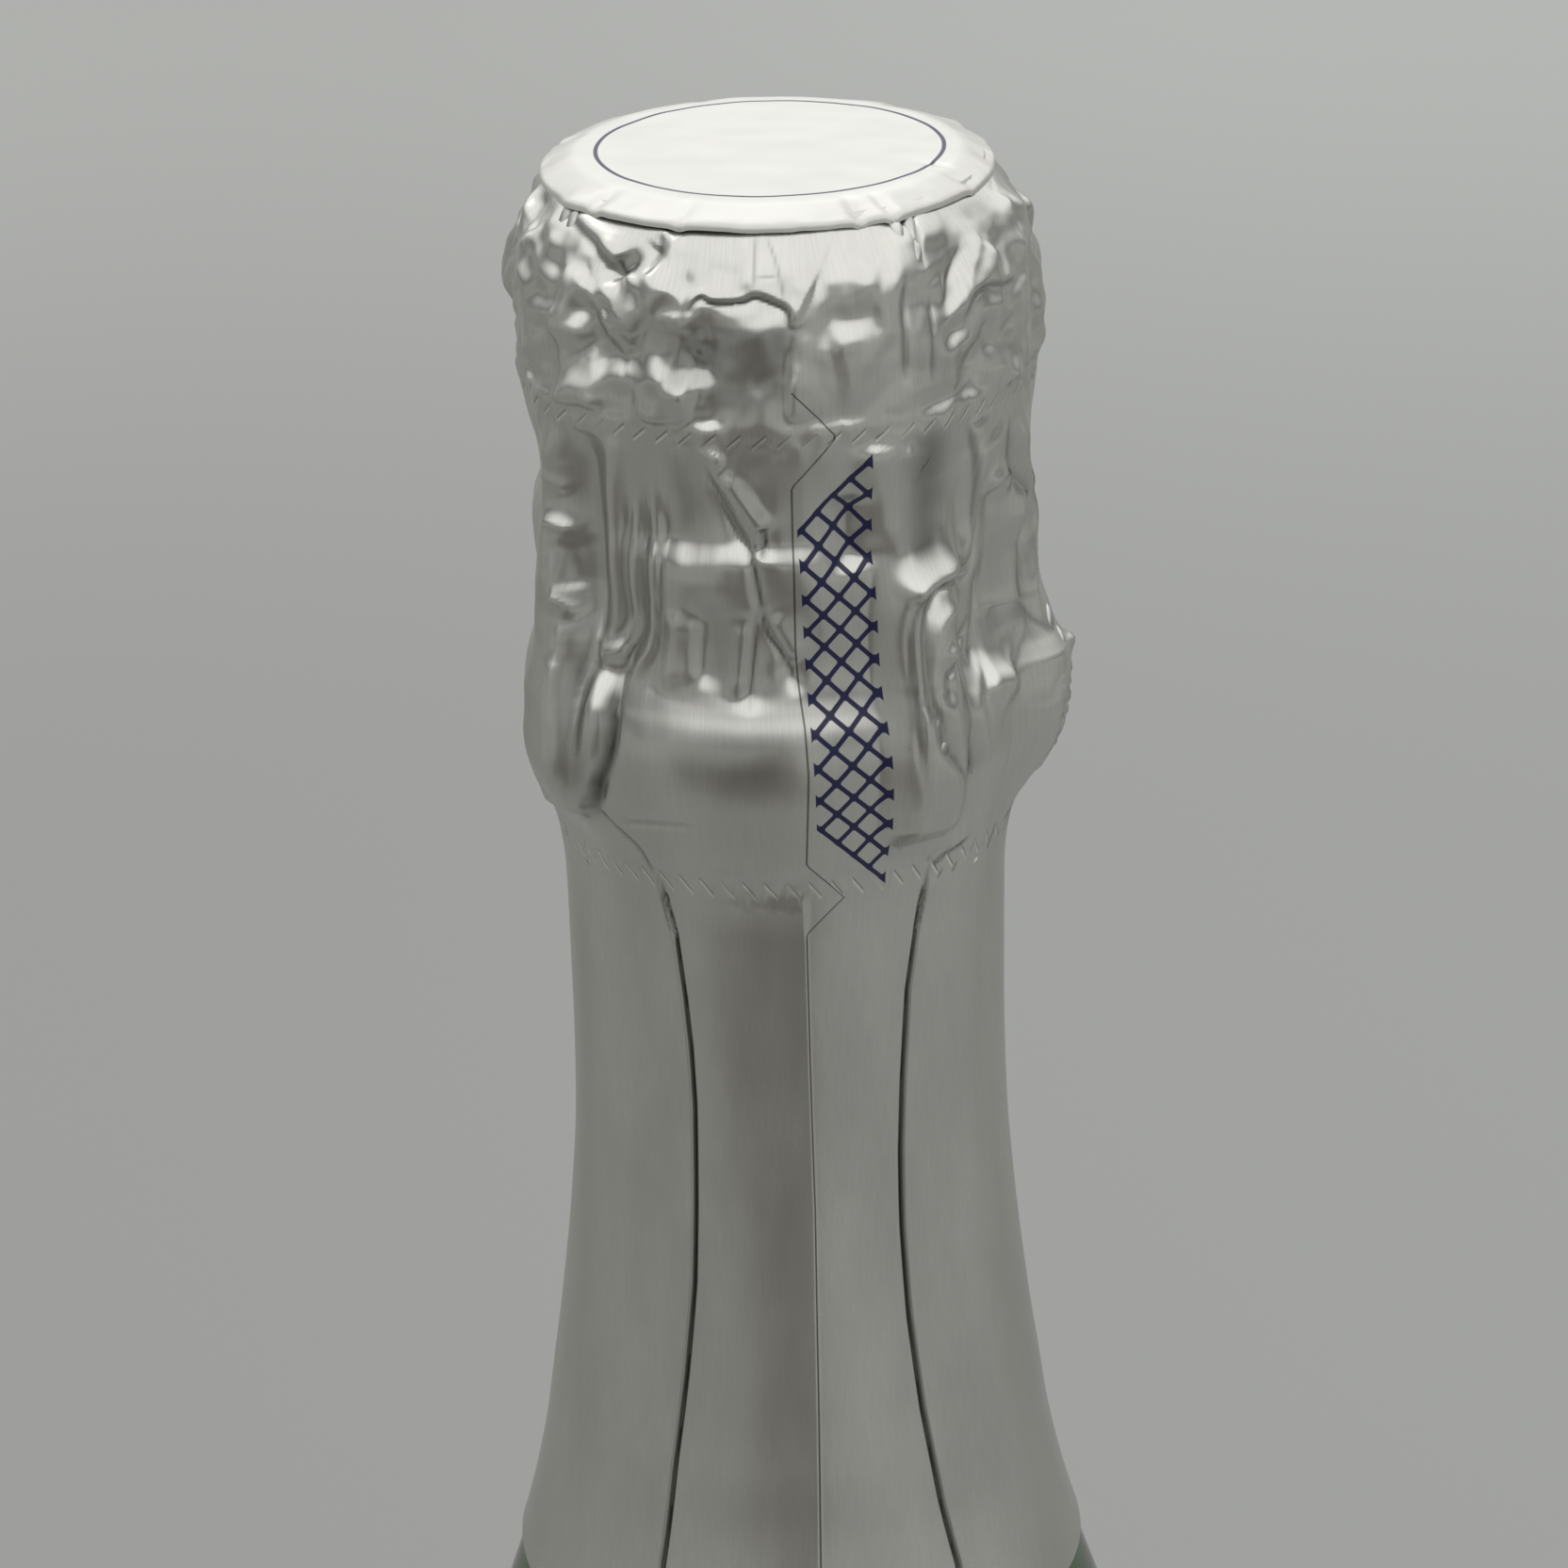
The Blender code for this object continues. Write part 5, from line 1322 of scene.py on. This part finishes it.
def tooth_columns(front, back, half_front):
    """Columns across the unrolled hood, so many to a tooth, fewer at the back. All start and end a slit."""
    columns = []
    for tooth in range(-TEETH // 2, TEETH // 2):
        count = front if abs((tooth + 0.5) * 360 / TEETH) < half_front else back
        slit = round(count * SLIT_SHARE)
        on_slit = np.linspace(0, SLIT_SHARE, slit + 1)[:-1]
        on_bridge = np.linspace(SLIT_SHARE, 1, count - slit + 1)[:-1]
        columns += [(tooth + share) * TOOTH for share in (*on_slit, *on_bridge)]
    return np.array([*columns, TEETH / 2 * TOOTH])


def band_grid(columns, rows, top, bottom):
    """A grid whose first and last rows follow the given edges, and whose rows between even out."""
    share = np.linspace(0, 1, rows)[:, None]
    near = 2.2
    level_top, level_bottom = top.mean(), bottom.mean()
    flat = level_top + (level_bottom - level_top) * share
    pull_top = (1 - eased(flat - level_top, 0.0, near)) * (top - level_top)[None, :]
    pull_bottom = (1 - eased(level_bottom - flat, 0.0, near)) * (bottom - level_bottom)[None, :]
    across = np.repeat(columns[None, :], rows, axis=0)
    return across, flat + pull_top + pull_bottom


def held_at_tear(sheet, level, rise):
    """0 along a perforation, so that the pieces on its two sides meet there, and 1 away from it."""
    return eased(np.abs(sheet.down - down_at(level)), abs(rise) / 2, abs(rise) / 2 + 0.9)


def puckers(sheet, level, seed):
    """Small bumps along a perforation, the same on both of its sides."""
    return 0.04 * sheet.noise_at(0.9, seed) * bell(sheet.down - down_at(level), 1.3)


def back_folds(sheet, seed, top, bottom, count, strength):
    """Folds beside the legs and the crumples that the photograph doesn't show, from a seeded draw."""
    draw = np.random.default_rng(seed)
    for _ in range(count):
        azimuth = draw.uniform(95, 290)
        start = draw.uniform(top, bottom - 2)
        length = draw.uniform(3.0, 8.0)
        lean = draw.normal(0, 1.3)
        x = math.radians(turn_between(azimuth, 0)) * UNROLL_RADIUS
        bend = (x + lean * 0.6 + draw.normal(0, 0.3), start + length / 2)
        line = np.array(((x, start), bend, (x + lean, start + length)))
        line[:, 1] = np.clip(line[:, 1], top, bottom)
        kind = "ridge" if draw.random() < 0.5 else "valley"
        width, height = draw.uniform(0.28, 0.6), strength * draw.uniform(0.12, 0.3)
        # Shade is painted along a valley
        sheet.fold_line(kind, width, height, 0.0 if kind == "ridge" else 0.35, smooth_line(line, 4))


def leg_folds(sheet):
    """The foil's own folds that run beside each leg out of the photograph's sight."""
    for leg in LEG_AZIMUTHS[2:]:
        middle = math.radians(turn_between(leg, 0)) * UNROLL_RADIUS
        for offset, kind, width, height in LEG_FOLDS:
            path = [(middle + offset * share, down_at(level)) for level, share in LEG_FOLD_SHARES]
            # Shade is painted along the valleys
            painted_dark = 0.3 if kind == "valley" else 0.0
            sheet.fold_line(kind, width, height, painted_dark, smooth_line(path, 5))


def make_cap_skirt():
    chosen = settings_of("foil")
    columns = tooth_columns(*CAP_COLUMNS)
    edge = tooth_edge(columns, down_at(UPPER_TEAR), UPPER_RISE)
    sheet = Sheet(*band_grid(columns, CAP_ROWS, 0 * columns, edge))
    for fold in CAP_FOLDS:
        sheet.fold(*fold)
    back_folds(sheet, CAP_DRAW, down_at(321.0), down_at(UPPER_TEAR) - 0.6, *CAP_BACK)
    lumps = sheet.noise_at(3.0, CAP_SEED) * 1.2 + sheet.noise_at(1.5, CAP_SEED * 2) * 0.5
    facets = sheet.facets_at(4.2, CAP_SEED, 1.2) - 0.4
    centre = eased(sheet.azimuth, -16, -6) * (1 - eased(sheet.azimuth, 30, 44))
    calm = 1 - 0.6 * centre
    below_rim = eased(sheet.down, 1.2, 4.5)
    sheet.lift += chosen.crumple * (lumps + 1.1 * facets) * calm * below_rim
    sheet.lift += 0.14 * sheet.noise_at(5.5, CAP_SEED + 3) * below_rim
    # The pocket at the front leans inwards towards its foot, and shade is painted inside it down to near its
    # foot
    (left, top), (right, foot) = on_hood(POCKET_PIXELS)
    inside = eased(sheet.across, left - 0.3, left + 0.5) * (1 - eased(sheet.across, right - 0.3, right + 0.2))
    inside = inside * eased(sheet.down, top - 0.2, top + 0.2)
    back_out = eased(sheet.down, foot - 0.4, foot + 3.4)
    sheet.lift -= 0.42 * inside * eased(sheet.down, top, foot) * (1 - back_out)
    sheet.paint_shade(0.38 * inside * (1 - eased(sheet.down, foot - 1.5, foot + 1.5)))
    sheet.lift *= held_at_tear(sheet, UPPER_TEAR, UPPER_RISE)
    sheet.lift += puckers(sheet, UPPER_TEAR, UPPER_PUCKERS)
    sheet.lift *= chosen.relief
    piece = bent_grid("cap_foil", sheet.points(), sheet.across, sheet.down, sheet.shade, chosen.thickness)
    finished(piece, foil_finish("cap_foil_metal", roughness=0.27), "foil_cap", "neck_foil", "foil_cap_skirt")


def make_tear_band():
    chosen = settings_of("foil")
    columns = tooth_columns(*BAND_COLUMNS)
    upper, lower = (tooth_edge(columns, down_at(level), rise) for level, rise in PERFORATIONS)
    sheet = Sheet(*band_grid(columns, BAND_ROWS, upper, lower))
    for fold in TEAR_FOLDS:
        sheet.fold(*fold)
    leg_folds(sheet)
    back_folds(sheet, BAND_DRAW, down_at(305.0), down_at(279.0), *BAND_BACK)
    # The foil lies over the bottle's lip between the legs
    between = np.ones(sheet.across.shape)
    for leg in (*LEG_AZIMUTHS, KEY_AZIMUTH):
        between *= eased(np.abs(turn_between(sheet.azimuth, leg)), 12.0, 30.0)
    step = 1 - eased(sheet.height, 298.6, 300.6)
    sheet.lift += 0.36 * between * step * eased(sheet.height, 292.5, 298.0)
    middle_height = eased(sheet.height, 277.0, 283.0) * (1 - eased(sheet.height, 303.0, 307.0) * 0.3)
    # The foil is taut over the collar at the front
    front = eased(sheet.azimuth, -36, -28) * (1 - eased(sheet.azimuth, 22, 30))
    middle_height = middle_height * (1 - 0.85 * front * (1 - eased(sheet.height, 290.5, 293.5)))
    sheet.lift += 0.07 * sheet.noise_at(4.2, BAND_SEED, 1.8) * middle_height
    sheet.lift += 0.05 * sheet.noise_at(1.7, BAND_SEED + 4, 2.2) * middle_height
    left = eased(-sheet.azimuth, 38, 62) * eased(sheet.height, 278, 284)
    sheet.lift += 0.06 * sheet.noise_at(2.4, BAND_SEED + 8) * left
    for (level, rise), seed in zip(PERFORATIONS, (UPPER_PUCKERS, LOWER_PUCKERS)):
        sheet.lift *= held_at_tear(sheet, level, rise)
        sheet.lift += puckers(sheet, level, seed)
    # The torn tip over the key, with shade painted round it, and the ragged foil under it
    key = math.radians(KEY_AZIMUTH + 6) * UNROLL_RADIUS
    tip = np.hypot(sheet.across - key, sheet.down - down_at(287.3))
    sheet.lift += 0.55 * bell(tip, 0.8)
    # Painted shade round the tip
    sheet.paint_shade(0.35 * bell(tip, 0.5))
    ragged = bell(sheet.across - key, 3.5) * eased(sheet.height, 276.5, 279.0)
    ragged *= 1 - eased(sheet.height, 285.5, 287.0)
    sheet.lift += 0.22 * sheet.noise_at(0.9, BAND_SEED + 12) * ragged
    sheet.lift *= chosen.relief
    piece = bent_grid("tear_band", sheet.points(), sheet.across, sheet.down, sheet.shade, chosen.thickness)
    finished(piece, foil_finish("tear_band_metal", printed=True, roughness=0.25), "tear_band", "neck_foil",
             "foil_tear_band")


def pleat_azimuths(down):
    """Where the seam and the four pleats run, across the unrolled hood, at lengths down it."""
    found = []
    for pixels in (LEFT_PLEAT, SEAM_PIXELS[10:], RIGHT_PLEAT):
        line = on_hood(pixels)
        order = np.argsort(line[:, 1])
        found.append(np.interp(down, line[order, 1], line[order, 0]))
    turn = math.radians(90) * UNROLL_RADIUS
    right_back = found[2] + turn - 1.0
    left_back = found[0] - turn + 0.6
    return [left_back, *found, right_back]


def add_seam(sheet, gap, start):
    """The foil's lap at the front, which lies on the left of its edge."""
    begin = eased(sheet.down, start - 1.0, start + 1.5)
    raised = 0.5 - 0.5 * np.tanh(gap / 0.08)
    sheet.lift += begin * 0.22 * raised * np.exp(np.minimum(gap, 0) / LAP_FALL)


def add_pleat(sheet, gap, start):
    """A pleat of the sleeve: a step up on its outer side, with a groove at its foot and shade painted in the
    groove.
    """
    begin = eased(sheet.down, start - 1.0, start + 2.0)
    raised = 0.5 + 0.5 * np.tanh(gap / 0.06)
    rise = 0.20 * raised * np.exp(-np.maximum(gap, 0) / 3.5)
    sheet.lift += begin * (rise - 0.16 * bell(gap + 0.12, 0.14))
    # Painted shade in the groove
    sheet.paint_shade(0.92 * begin * bell(gap + 0.11, 0.15))


def make_neck_sleeve():
    chosen = settings_of("foil")
    lower_end = float(down_at(SLEEVE_LOW.z / MM))
    start = float(down_at(LOWER_TEAR))
    level = np.linspace(start, lower_end, SLEEVE_ROWS)
    curves = pleat_azimuths(level)
    # Columns fit the teeth at the top, and further down they gather at the pleats
    aligned = tooth_columns(*SLEEVE_COLUMNS)
    even = np.linspace(aligned[0], aligned[-1], 4000)
    across = np.empty((len(level), len(aligned)))
    for row, value in enumerate(level):
        crowd = 1 + sum(7 * bell(even - curve[row], 0.7) for curve in curves)
        total = np.concatenate([[0], np.cumsum((crowd[1:] + crowd[:-1]) / 2)])
        gathered = np.interp(np.linspace(0, total[-1], len(aligned)), total, even)
        share = eased(value - start, 0.4, 5.0)
        across[row] = aligned * (1 - share) + gathered * share
    top = tooth_edge(aligned, start, LOWER_RISE)
    down = np.repeat(level[:, None], across.shape[1], axis=1)
    down += (1 - eased(down - start, 0.0, 2.4)) * (top - start)[None, :]
    hem = 0.35 * np.sin(across[-1] / 9.0 + 0.6) + 0.25 * np.sin(across[-1] / 3.7)
    down += eased(down, lower_end - 6, lower_end) * (hem - 0.4)[None, :]
    sheet = Sheet(across, down)
    # The seam is the middle one of the five, and a pleat's outer side is the one away from it
    for curve, outward in zip(curves, (-1, -1, 0, 1, 1)):
        gap = across - curve[:, None]
        if outward:
            add_pleat(sheet, gap * outward, start)
        else:
            add_seam(sheet, gap, start)
    sheet.lift += 0.035 * sheet.noise_at(7.0, SLEEVE_SEED, 3.0)
    sheet.lift += 0.004 * sheet.noise_at(1.4, SLEEVE_SEED + 2, 6.0)
    sheet.lift *= held_at_tear(sheet, LOWER_TEAR, LOWER_RISE)
    sheet.lift += puckers(sheet, LOWER_TEAR, LOWER_PUCKERS)
    sheet.lift *= chosen.relief
    sheet.lift += 0.05 * eased(sheet.down, lower_end - 1.6, lower_end + 0.2)
    piece = bent_grid("neck_foil", sheet.points(), sheet.across, sheet.down, sheet.shade, chosen.thickness)
    finished(piece, foil_finish("neck_foil_metal", roughness=0.24), "bottle", "neck_foil", "foil_neck_sleeve")


def noise_on_disc(x, y, scale, seed):
    values = [noise.noise(Vector((a / scale, b / scale, seed))) for a, b in zip(x.flat, y.flat)]
    return np.array(values).reshape(x.shape)


def make_top_disc():
    """The stiff disc on top, its brim folded down over the cap's edge, with shade painted on the brim and in
    its dents.
    """
    chosen = settings_of("foil")
    top = HOOD_HIGH.z / MM
    outline = smooth_line([(radius, top - depth) for radius, depth in DISC_OUTLINE], 6)
    lengths = np.concatenate([[0], np.cumsum(np.hypot(*np.diff(outline, axis=0).T))])
    rows = np.concatenate([np.linspace(0, DISC_FLAT, 40)[:-1], np.linspace(DISC_FLAT, lengths[-1], 34)])
    azimuth = np.linspace(-180, 180, 361)
    down, around_all = np.meshgrid(rows, azimuth, indexing="ij")
    radius = np.interp(down, lengths, outline[:, 0])
    height = np.interp(down, lengths, outline[:, 1])
    angle = np.radians(around_all)
    rim = eased(radius, 12.8, 15.1)
    x, y = radius * np.sin(angle), -radius * np.cos(angle)
    wave = noise_on_disc(x, y, 2.6, DISC_SEED)
    fine = noise_on_disc(x, y, 0.9, DISC_SEED + 4)
    height = height + 0.05 * wave * (1 - rim) + (0.16 * wave + 0.05 * fine) * rim
    radius = radius + 0.10 * wave * rim
    # Painted shade on the brim
    shade = 0.24 * eased(radius, 12.8, 13.6)
    for leg in LEG_AZIMUTHS:
        radius = radius + 0.45 * rim * bell(np.radians(turn_between(around_all, leg)) * radius, 1.3)
    for spot, reach, width, depth in DISC_DENTS:
        gap = np.radians(turn_between(around_all, spot)) * radius
        dent = bell(gap, width) * eased(radius, reach - 2.2, reach)
        height -= depth * dent
        # Thin painted shade along each dent
        shade = np.maximum(shade, 0.5 * bell(gap, 0.18) * eased(radius, reach - 0.6, reach + 0.4))
    crease = np.abs(turn_between(around_all, 66.0))
    height -= 0.10 * bell(np.radians(crease) * radius, 0.4) * eased(radius, 10.0, 13.0)
    points = np.stack([radius * np.sin(angle) + DISC_SHIFT, -radius * np.cos(angle), height], axis=-1) * MM
    across = np.radians(around_all) * radius
    piece = bent_grid("top_disc", points, across, down, shade, chosen.thickness * 1.2)
    finished(piece, disc_finish(), "foil_cap", "top_disc_foil", "foil_top_disc")


class BOTTLE_OT_foil(bpy.types.Operator):
    """Wraps the creased foil hood: top disc, cap, tear band and neck sleeve"""
    bl_idname = "bottle.foil"
    bl_label = "Foil hood"

    def execute(self, context):
        make_top_disc()
        make_cap_skirt()
        make_tear_band()
        make_neck_sleeve()
        return {"FINISHED"}


# Stage

LIGHT_TINT = (1.0, 0.995, 0.985, 1)
# What the camera sees above the horizon, which is the far floor's own colour
SKY_TINT, SKY_LEVEL = (0.980, 1.0, 0.961, 1), 0.4455
FLOOR_SIZE = 60.0
# Share of the floor's colour under the painted shadow near the bottle, the painted shade at the sides, and
# the painted reflections in front and on the right
PAINTED_FLOOR_SHADOW = 0.77
PAINTED_SIDE_SHADE = (0.12, 0.115, 0.105, 1)
PAINTED_FRONT_REFLECTION = (0.138, 0.130, 0.119, 1)
PAINTED_RIGHT_REFLECTION = (0.50, 0.50, 0.49, 1)
LAMP_PLACE = (-0.25, 0.75, 1.7)
LAMP_AIM = (0, 0, 0.28)
LAMP_SIZE = (1.6, 1.2)


def stage_world():
    """Even soft light: brightest above and behind, dimmer at the sides and in front."""
    world = bpy.data.worlds.new("soft_studio")
    bpy.context.scene.world = world
    world.use_nodes = True
    recipe = Recipe(world.node_tree)
    aside, behind, upward = recipe.split(recipe.node("ShaderNodeTexCoord").outputs["Generated"])
    strength = recipe.ramp(upward, -0.02, 0.36, 0.32, 1.28)
    flank = recipe.ramp(recipe.size_of(aside), 0.55, 0.95, 0.0, 0.55)
    flank = recipe.times(flank, recipe.fade(upward, 0.25, 0.75))
    front = recipe.times(recipe.ramp(behind, -0.95, -0.7, 0.65, 0.0), recipe.fade(upward, 0.05, 0.2))
    for dimmed in (flank, front):
        strength = recipe.times(strength, recipe.minus(1.0, dimmed))
    seen = recipe.ray("Camera")
    strength = recipe.plus(recipe.times(strength, recipe.minus(1.0, seen)), recipe.times(SKY_LEVEL, seen))
    background = world.node_tree.nodes["Background"]
    recipe.give(background.inputs["Color"], recipe.mix(seen, LIGHT_TINT, SKY_TINT))
    recipe.give(background.inputs["Strength"], strength)


def floor_finish():
    """A pale floor with a painted shadow round the bottle, and painted shade a little darker on its left. In
    reflections only, painted shade darkens it on the left, behind and in front of the bottle, where one would
    stand, and a painted reflection lightens it on the right."""
    chosen = settings_of("stage")
    recipe = Finish("pale_floor")
    spots = recipe.split(recipe.object_space())
    x, y = spots[0], spots[1]
    away = recipe.off_axis(spots)
    glossy = recipe.ray("Glossy")
    pale = shade_of(chosen.floor_colour)
    # Painted shadow near the bottle
    colour = recipe.mix(recipe.ramp(away, 0.60, 1.35), shade_of(chosen.floor_colour, PAINTED_FLOOR_SHADOW), pale)
    # Painted shade on the near left
    aside = recipe.times(recipe.ramp(x, -0.2, 0.2, 0.12, 0.0), recipe.fade(away, 1.5, 3.0))
    colour = recipe.mix(aside, colour, PAINTED_SIDE_SHADE)
    # Painted dark reflections on the left and behind, for glossy rays only
    left, behind = recipe.ramp(x, -0.35, -0.10, 0.16, 0.0), recipe.ramp(y, 0.10, 0.45, 0.0, 0.36)
    colour = recipe.mix(recipe.times(recipe.math("MAXIMUM", left, behind), glossy), colour, PAINTED_SIDE_SHADE)
    # Painted light reflection on the right, for glossy rays only
    colour = recipe.mix(recipe.times(recipe.ramp(x, 0.16, 0.42, 0.0, 0.04), glossy), colour, PAINTED_RIGHT_REFLECTION)
    # Painted dark reflection in front, where one would stand, for glossy rays only
    width = recipe.times(recipe.ramp(x, -0.46, -0.16), recipe.fade(x, 0.05, 0.13))
    front = recipe.times(width, recipe.fade(y, -0.40, -0.24))
    colour = recipe.mix(recipe.times(front, glossy), colour, PAINTED_FRONT_REFLECTION)
    return recipe.set(Base_Color=colour, Roughness=0.9, Specular_IOR_Level=0.1).material


def stage_floor():
    place = (0, 0, GLASS_LOW.z)
    floor = settle(added(bpy.ops.mesh.primitive_plane_add, "floor", size=FLOOR_SIZE, location=place))
    floor.data.materials.append(floor_finish())


def stage_lamp():
    deselect()
    bpy.ops.object.light_add(type="AREA", location=LAMP_PLACE)
    lamp = bpy.context.object
    lamp.name = "soft_lamp"
    lamp.data.shape = "RECTANGLE"
    lamp.data.size, lamp.data.size_y = LAMP_SIZE
    lamp.data.energy = settings_of("stage").lamp_power
    aim = Vector(LAMP_AIM) - lamp.location
    lamp.rotation_euler = aim.to_track_quat("-Z", "Y").to_euler()


def stage_camera():
    deselect()
    bpy.ops.object.camera_add(location=[value * MM for value in CAMERA_PLACE])
    camera = bpy.context.object
    camera.name = "photo_camera"
    tilt = Matrix.Rotation(math.radians(90 - CAMERA_TILT), 4, "X")
    roll = Matrix.Rotation(math.radians(CAMERA_ROLL), 4, "Z")
    camera.matrix_world = Matrix.Translation(camera.location) @ tilt @ roll
    camera.data.sensor_width = SENSOR_WIDTH
    camera.data.lens = FOCAL_PIXELS / PHOTO_SIZE * SENSOR_WIDTH
    camera.data.clip_start = 0.01
    bpy.context.scene.camera = camera


class BOTTLE_OT_stage(bpy.types.Operator):
    """Sets a pale floor with painted shade, soft light and the camera"""
    bl_idname = "bottle.stage"
    bl_label = "Stage"

    def execute(self, context):
        context.scene.view_settings.view_transform = "Standard"
        stage_world()
        stage_floor()
        stage_lamp()
        stage_camera()
        return {"FINISHED"}


class BOTTLE_PT_panel(bpy.types.Panel):
    """Lists the bottle's pieces and their settings"""
    bl_label = "Sparkling wine bottle"
    bl_idname = "BOTTLE_PT_panel"
    bl_space_type = "VIEW_3D"
    bl_region_type = "UI"
    bl_category = "Bottle"

    def draw(self, context):
        for group, operator in PANEL_ROWS:
            box = self.layout.box()
            settings = getattr(context.scene, group)
            for name in settings.__annotations__:
                box.prop(settings, name)
            box.operator(operator)


PANEL_ROWS = (
    ("bottle_glass", "bottle.glass"),
    ("closure", "bottle.cork"),
    ("closure", "bottle.wires"),
    ("foil", "bottle.foil"),
    ("stage", "bottle.stage"),
)
GROUPS = (
    ("bottle_glass", GLASS_PG_settings),
    ("foil", FOIL_PG_settings),
    ("closure", CLOSURE_PG_settings),
    ("stage", STAGE_PG_settings),
)
OPERATORS = (BOTTLE_OT_glass, BOTTLE_OT_cork, BOTTLE_OT_wires, BOTTLE_OT_foil, BOTTLE_OT_stage)


def register():
    for name, group in GROUPS:
        bpy.utils.register_class(group)
        setattr(bpy.types.Scene, name, bpy.props.PointerProperty(type=group))
    for item in (*OPERATORS, BOTTLE_PT_panel):
        bpy.utils.register_class(item)


def unregister():
    for item in reversed((*OPERATORS, BOTTLE_PT_panel)):
        bpy.utils.unregister_class(item)
    for name, group in reversed(GROUPS):
        delattr(bpy.types.Scene, name)
        bpy.utils.unregister_class(group)


def main():
    register()
    bpy.ops.bottle.stage()
    bpy.ops.bottle.glass()
    bpy.ops.bottle.cork()
    bpy.ops.bottle.wires()
    bpy.ops.bottle.foil()


if __name__ == "__main__":
    main()
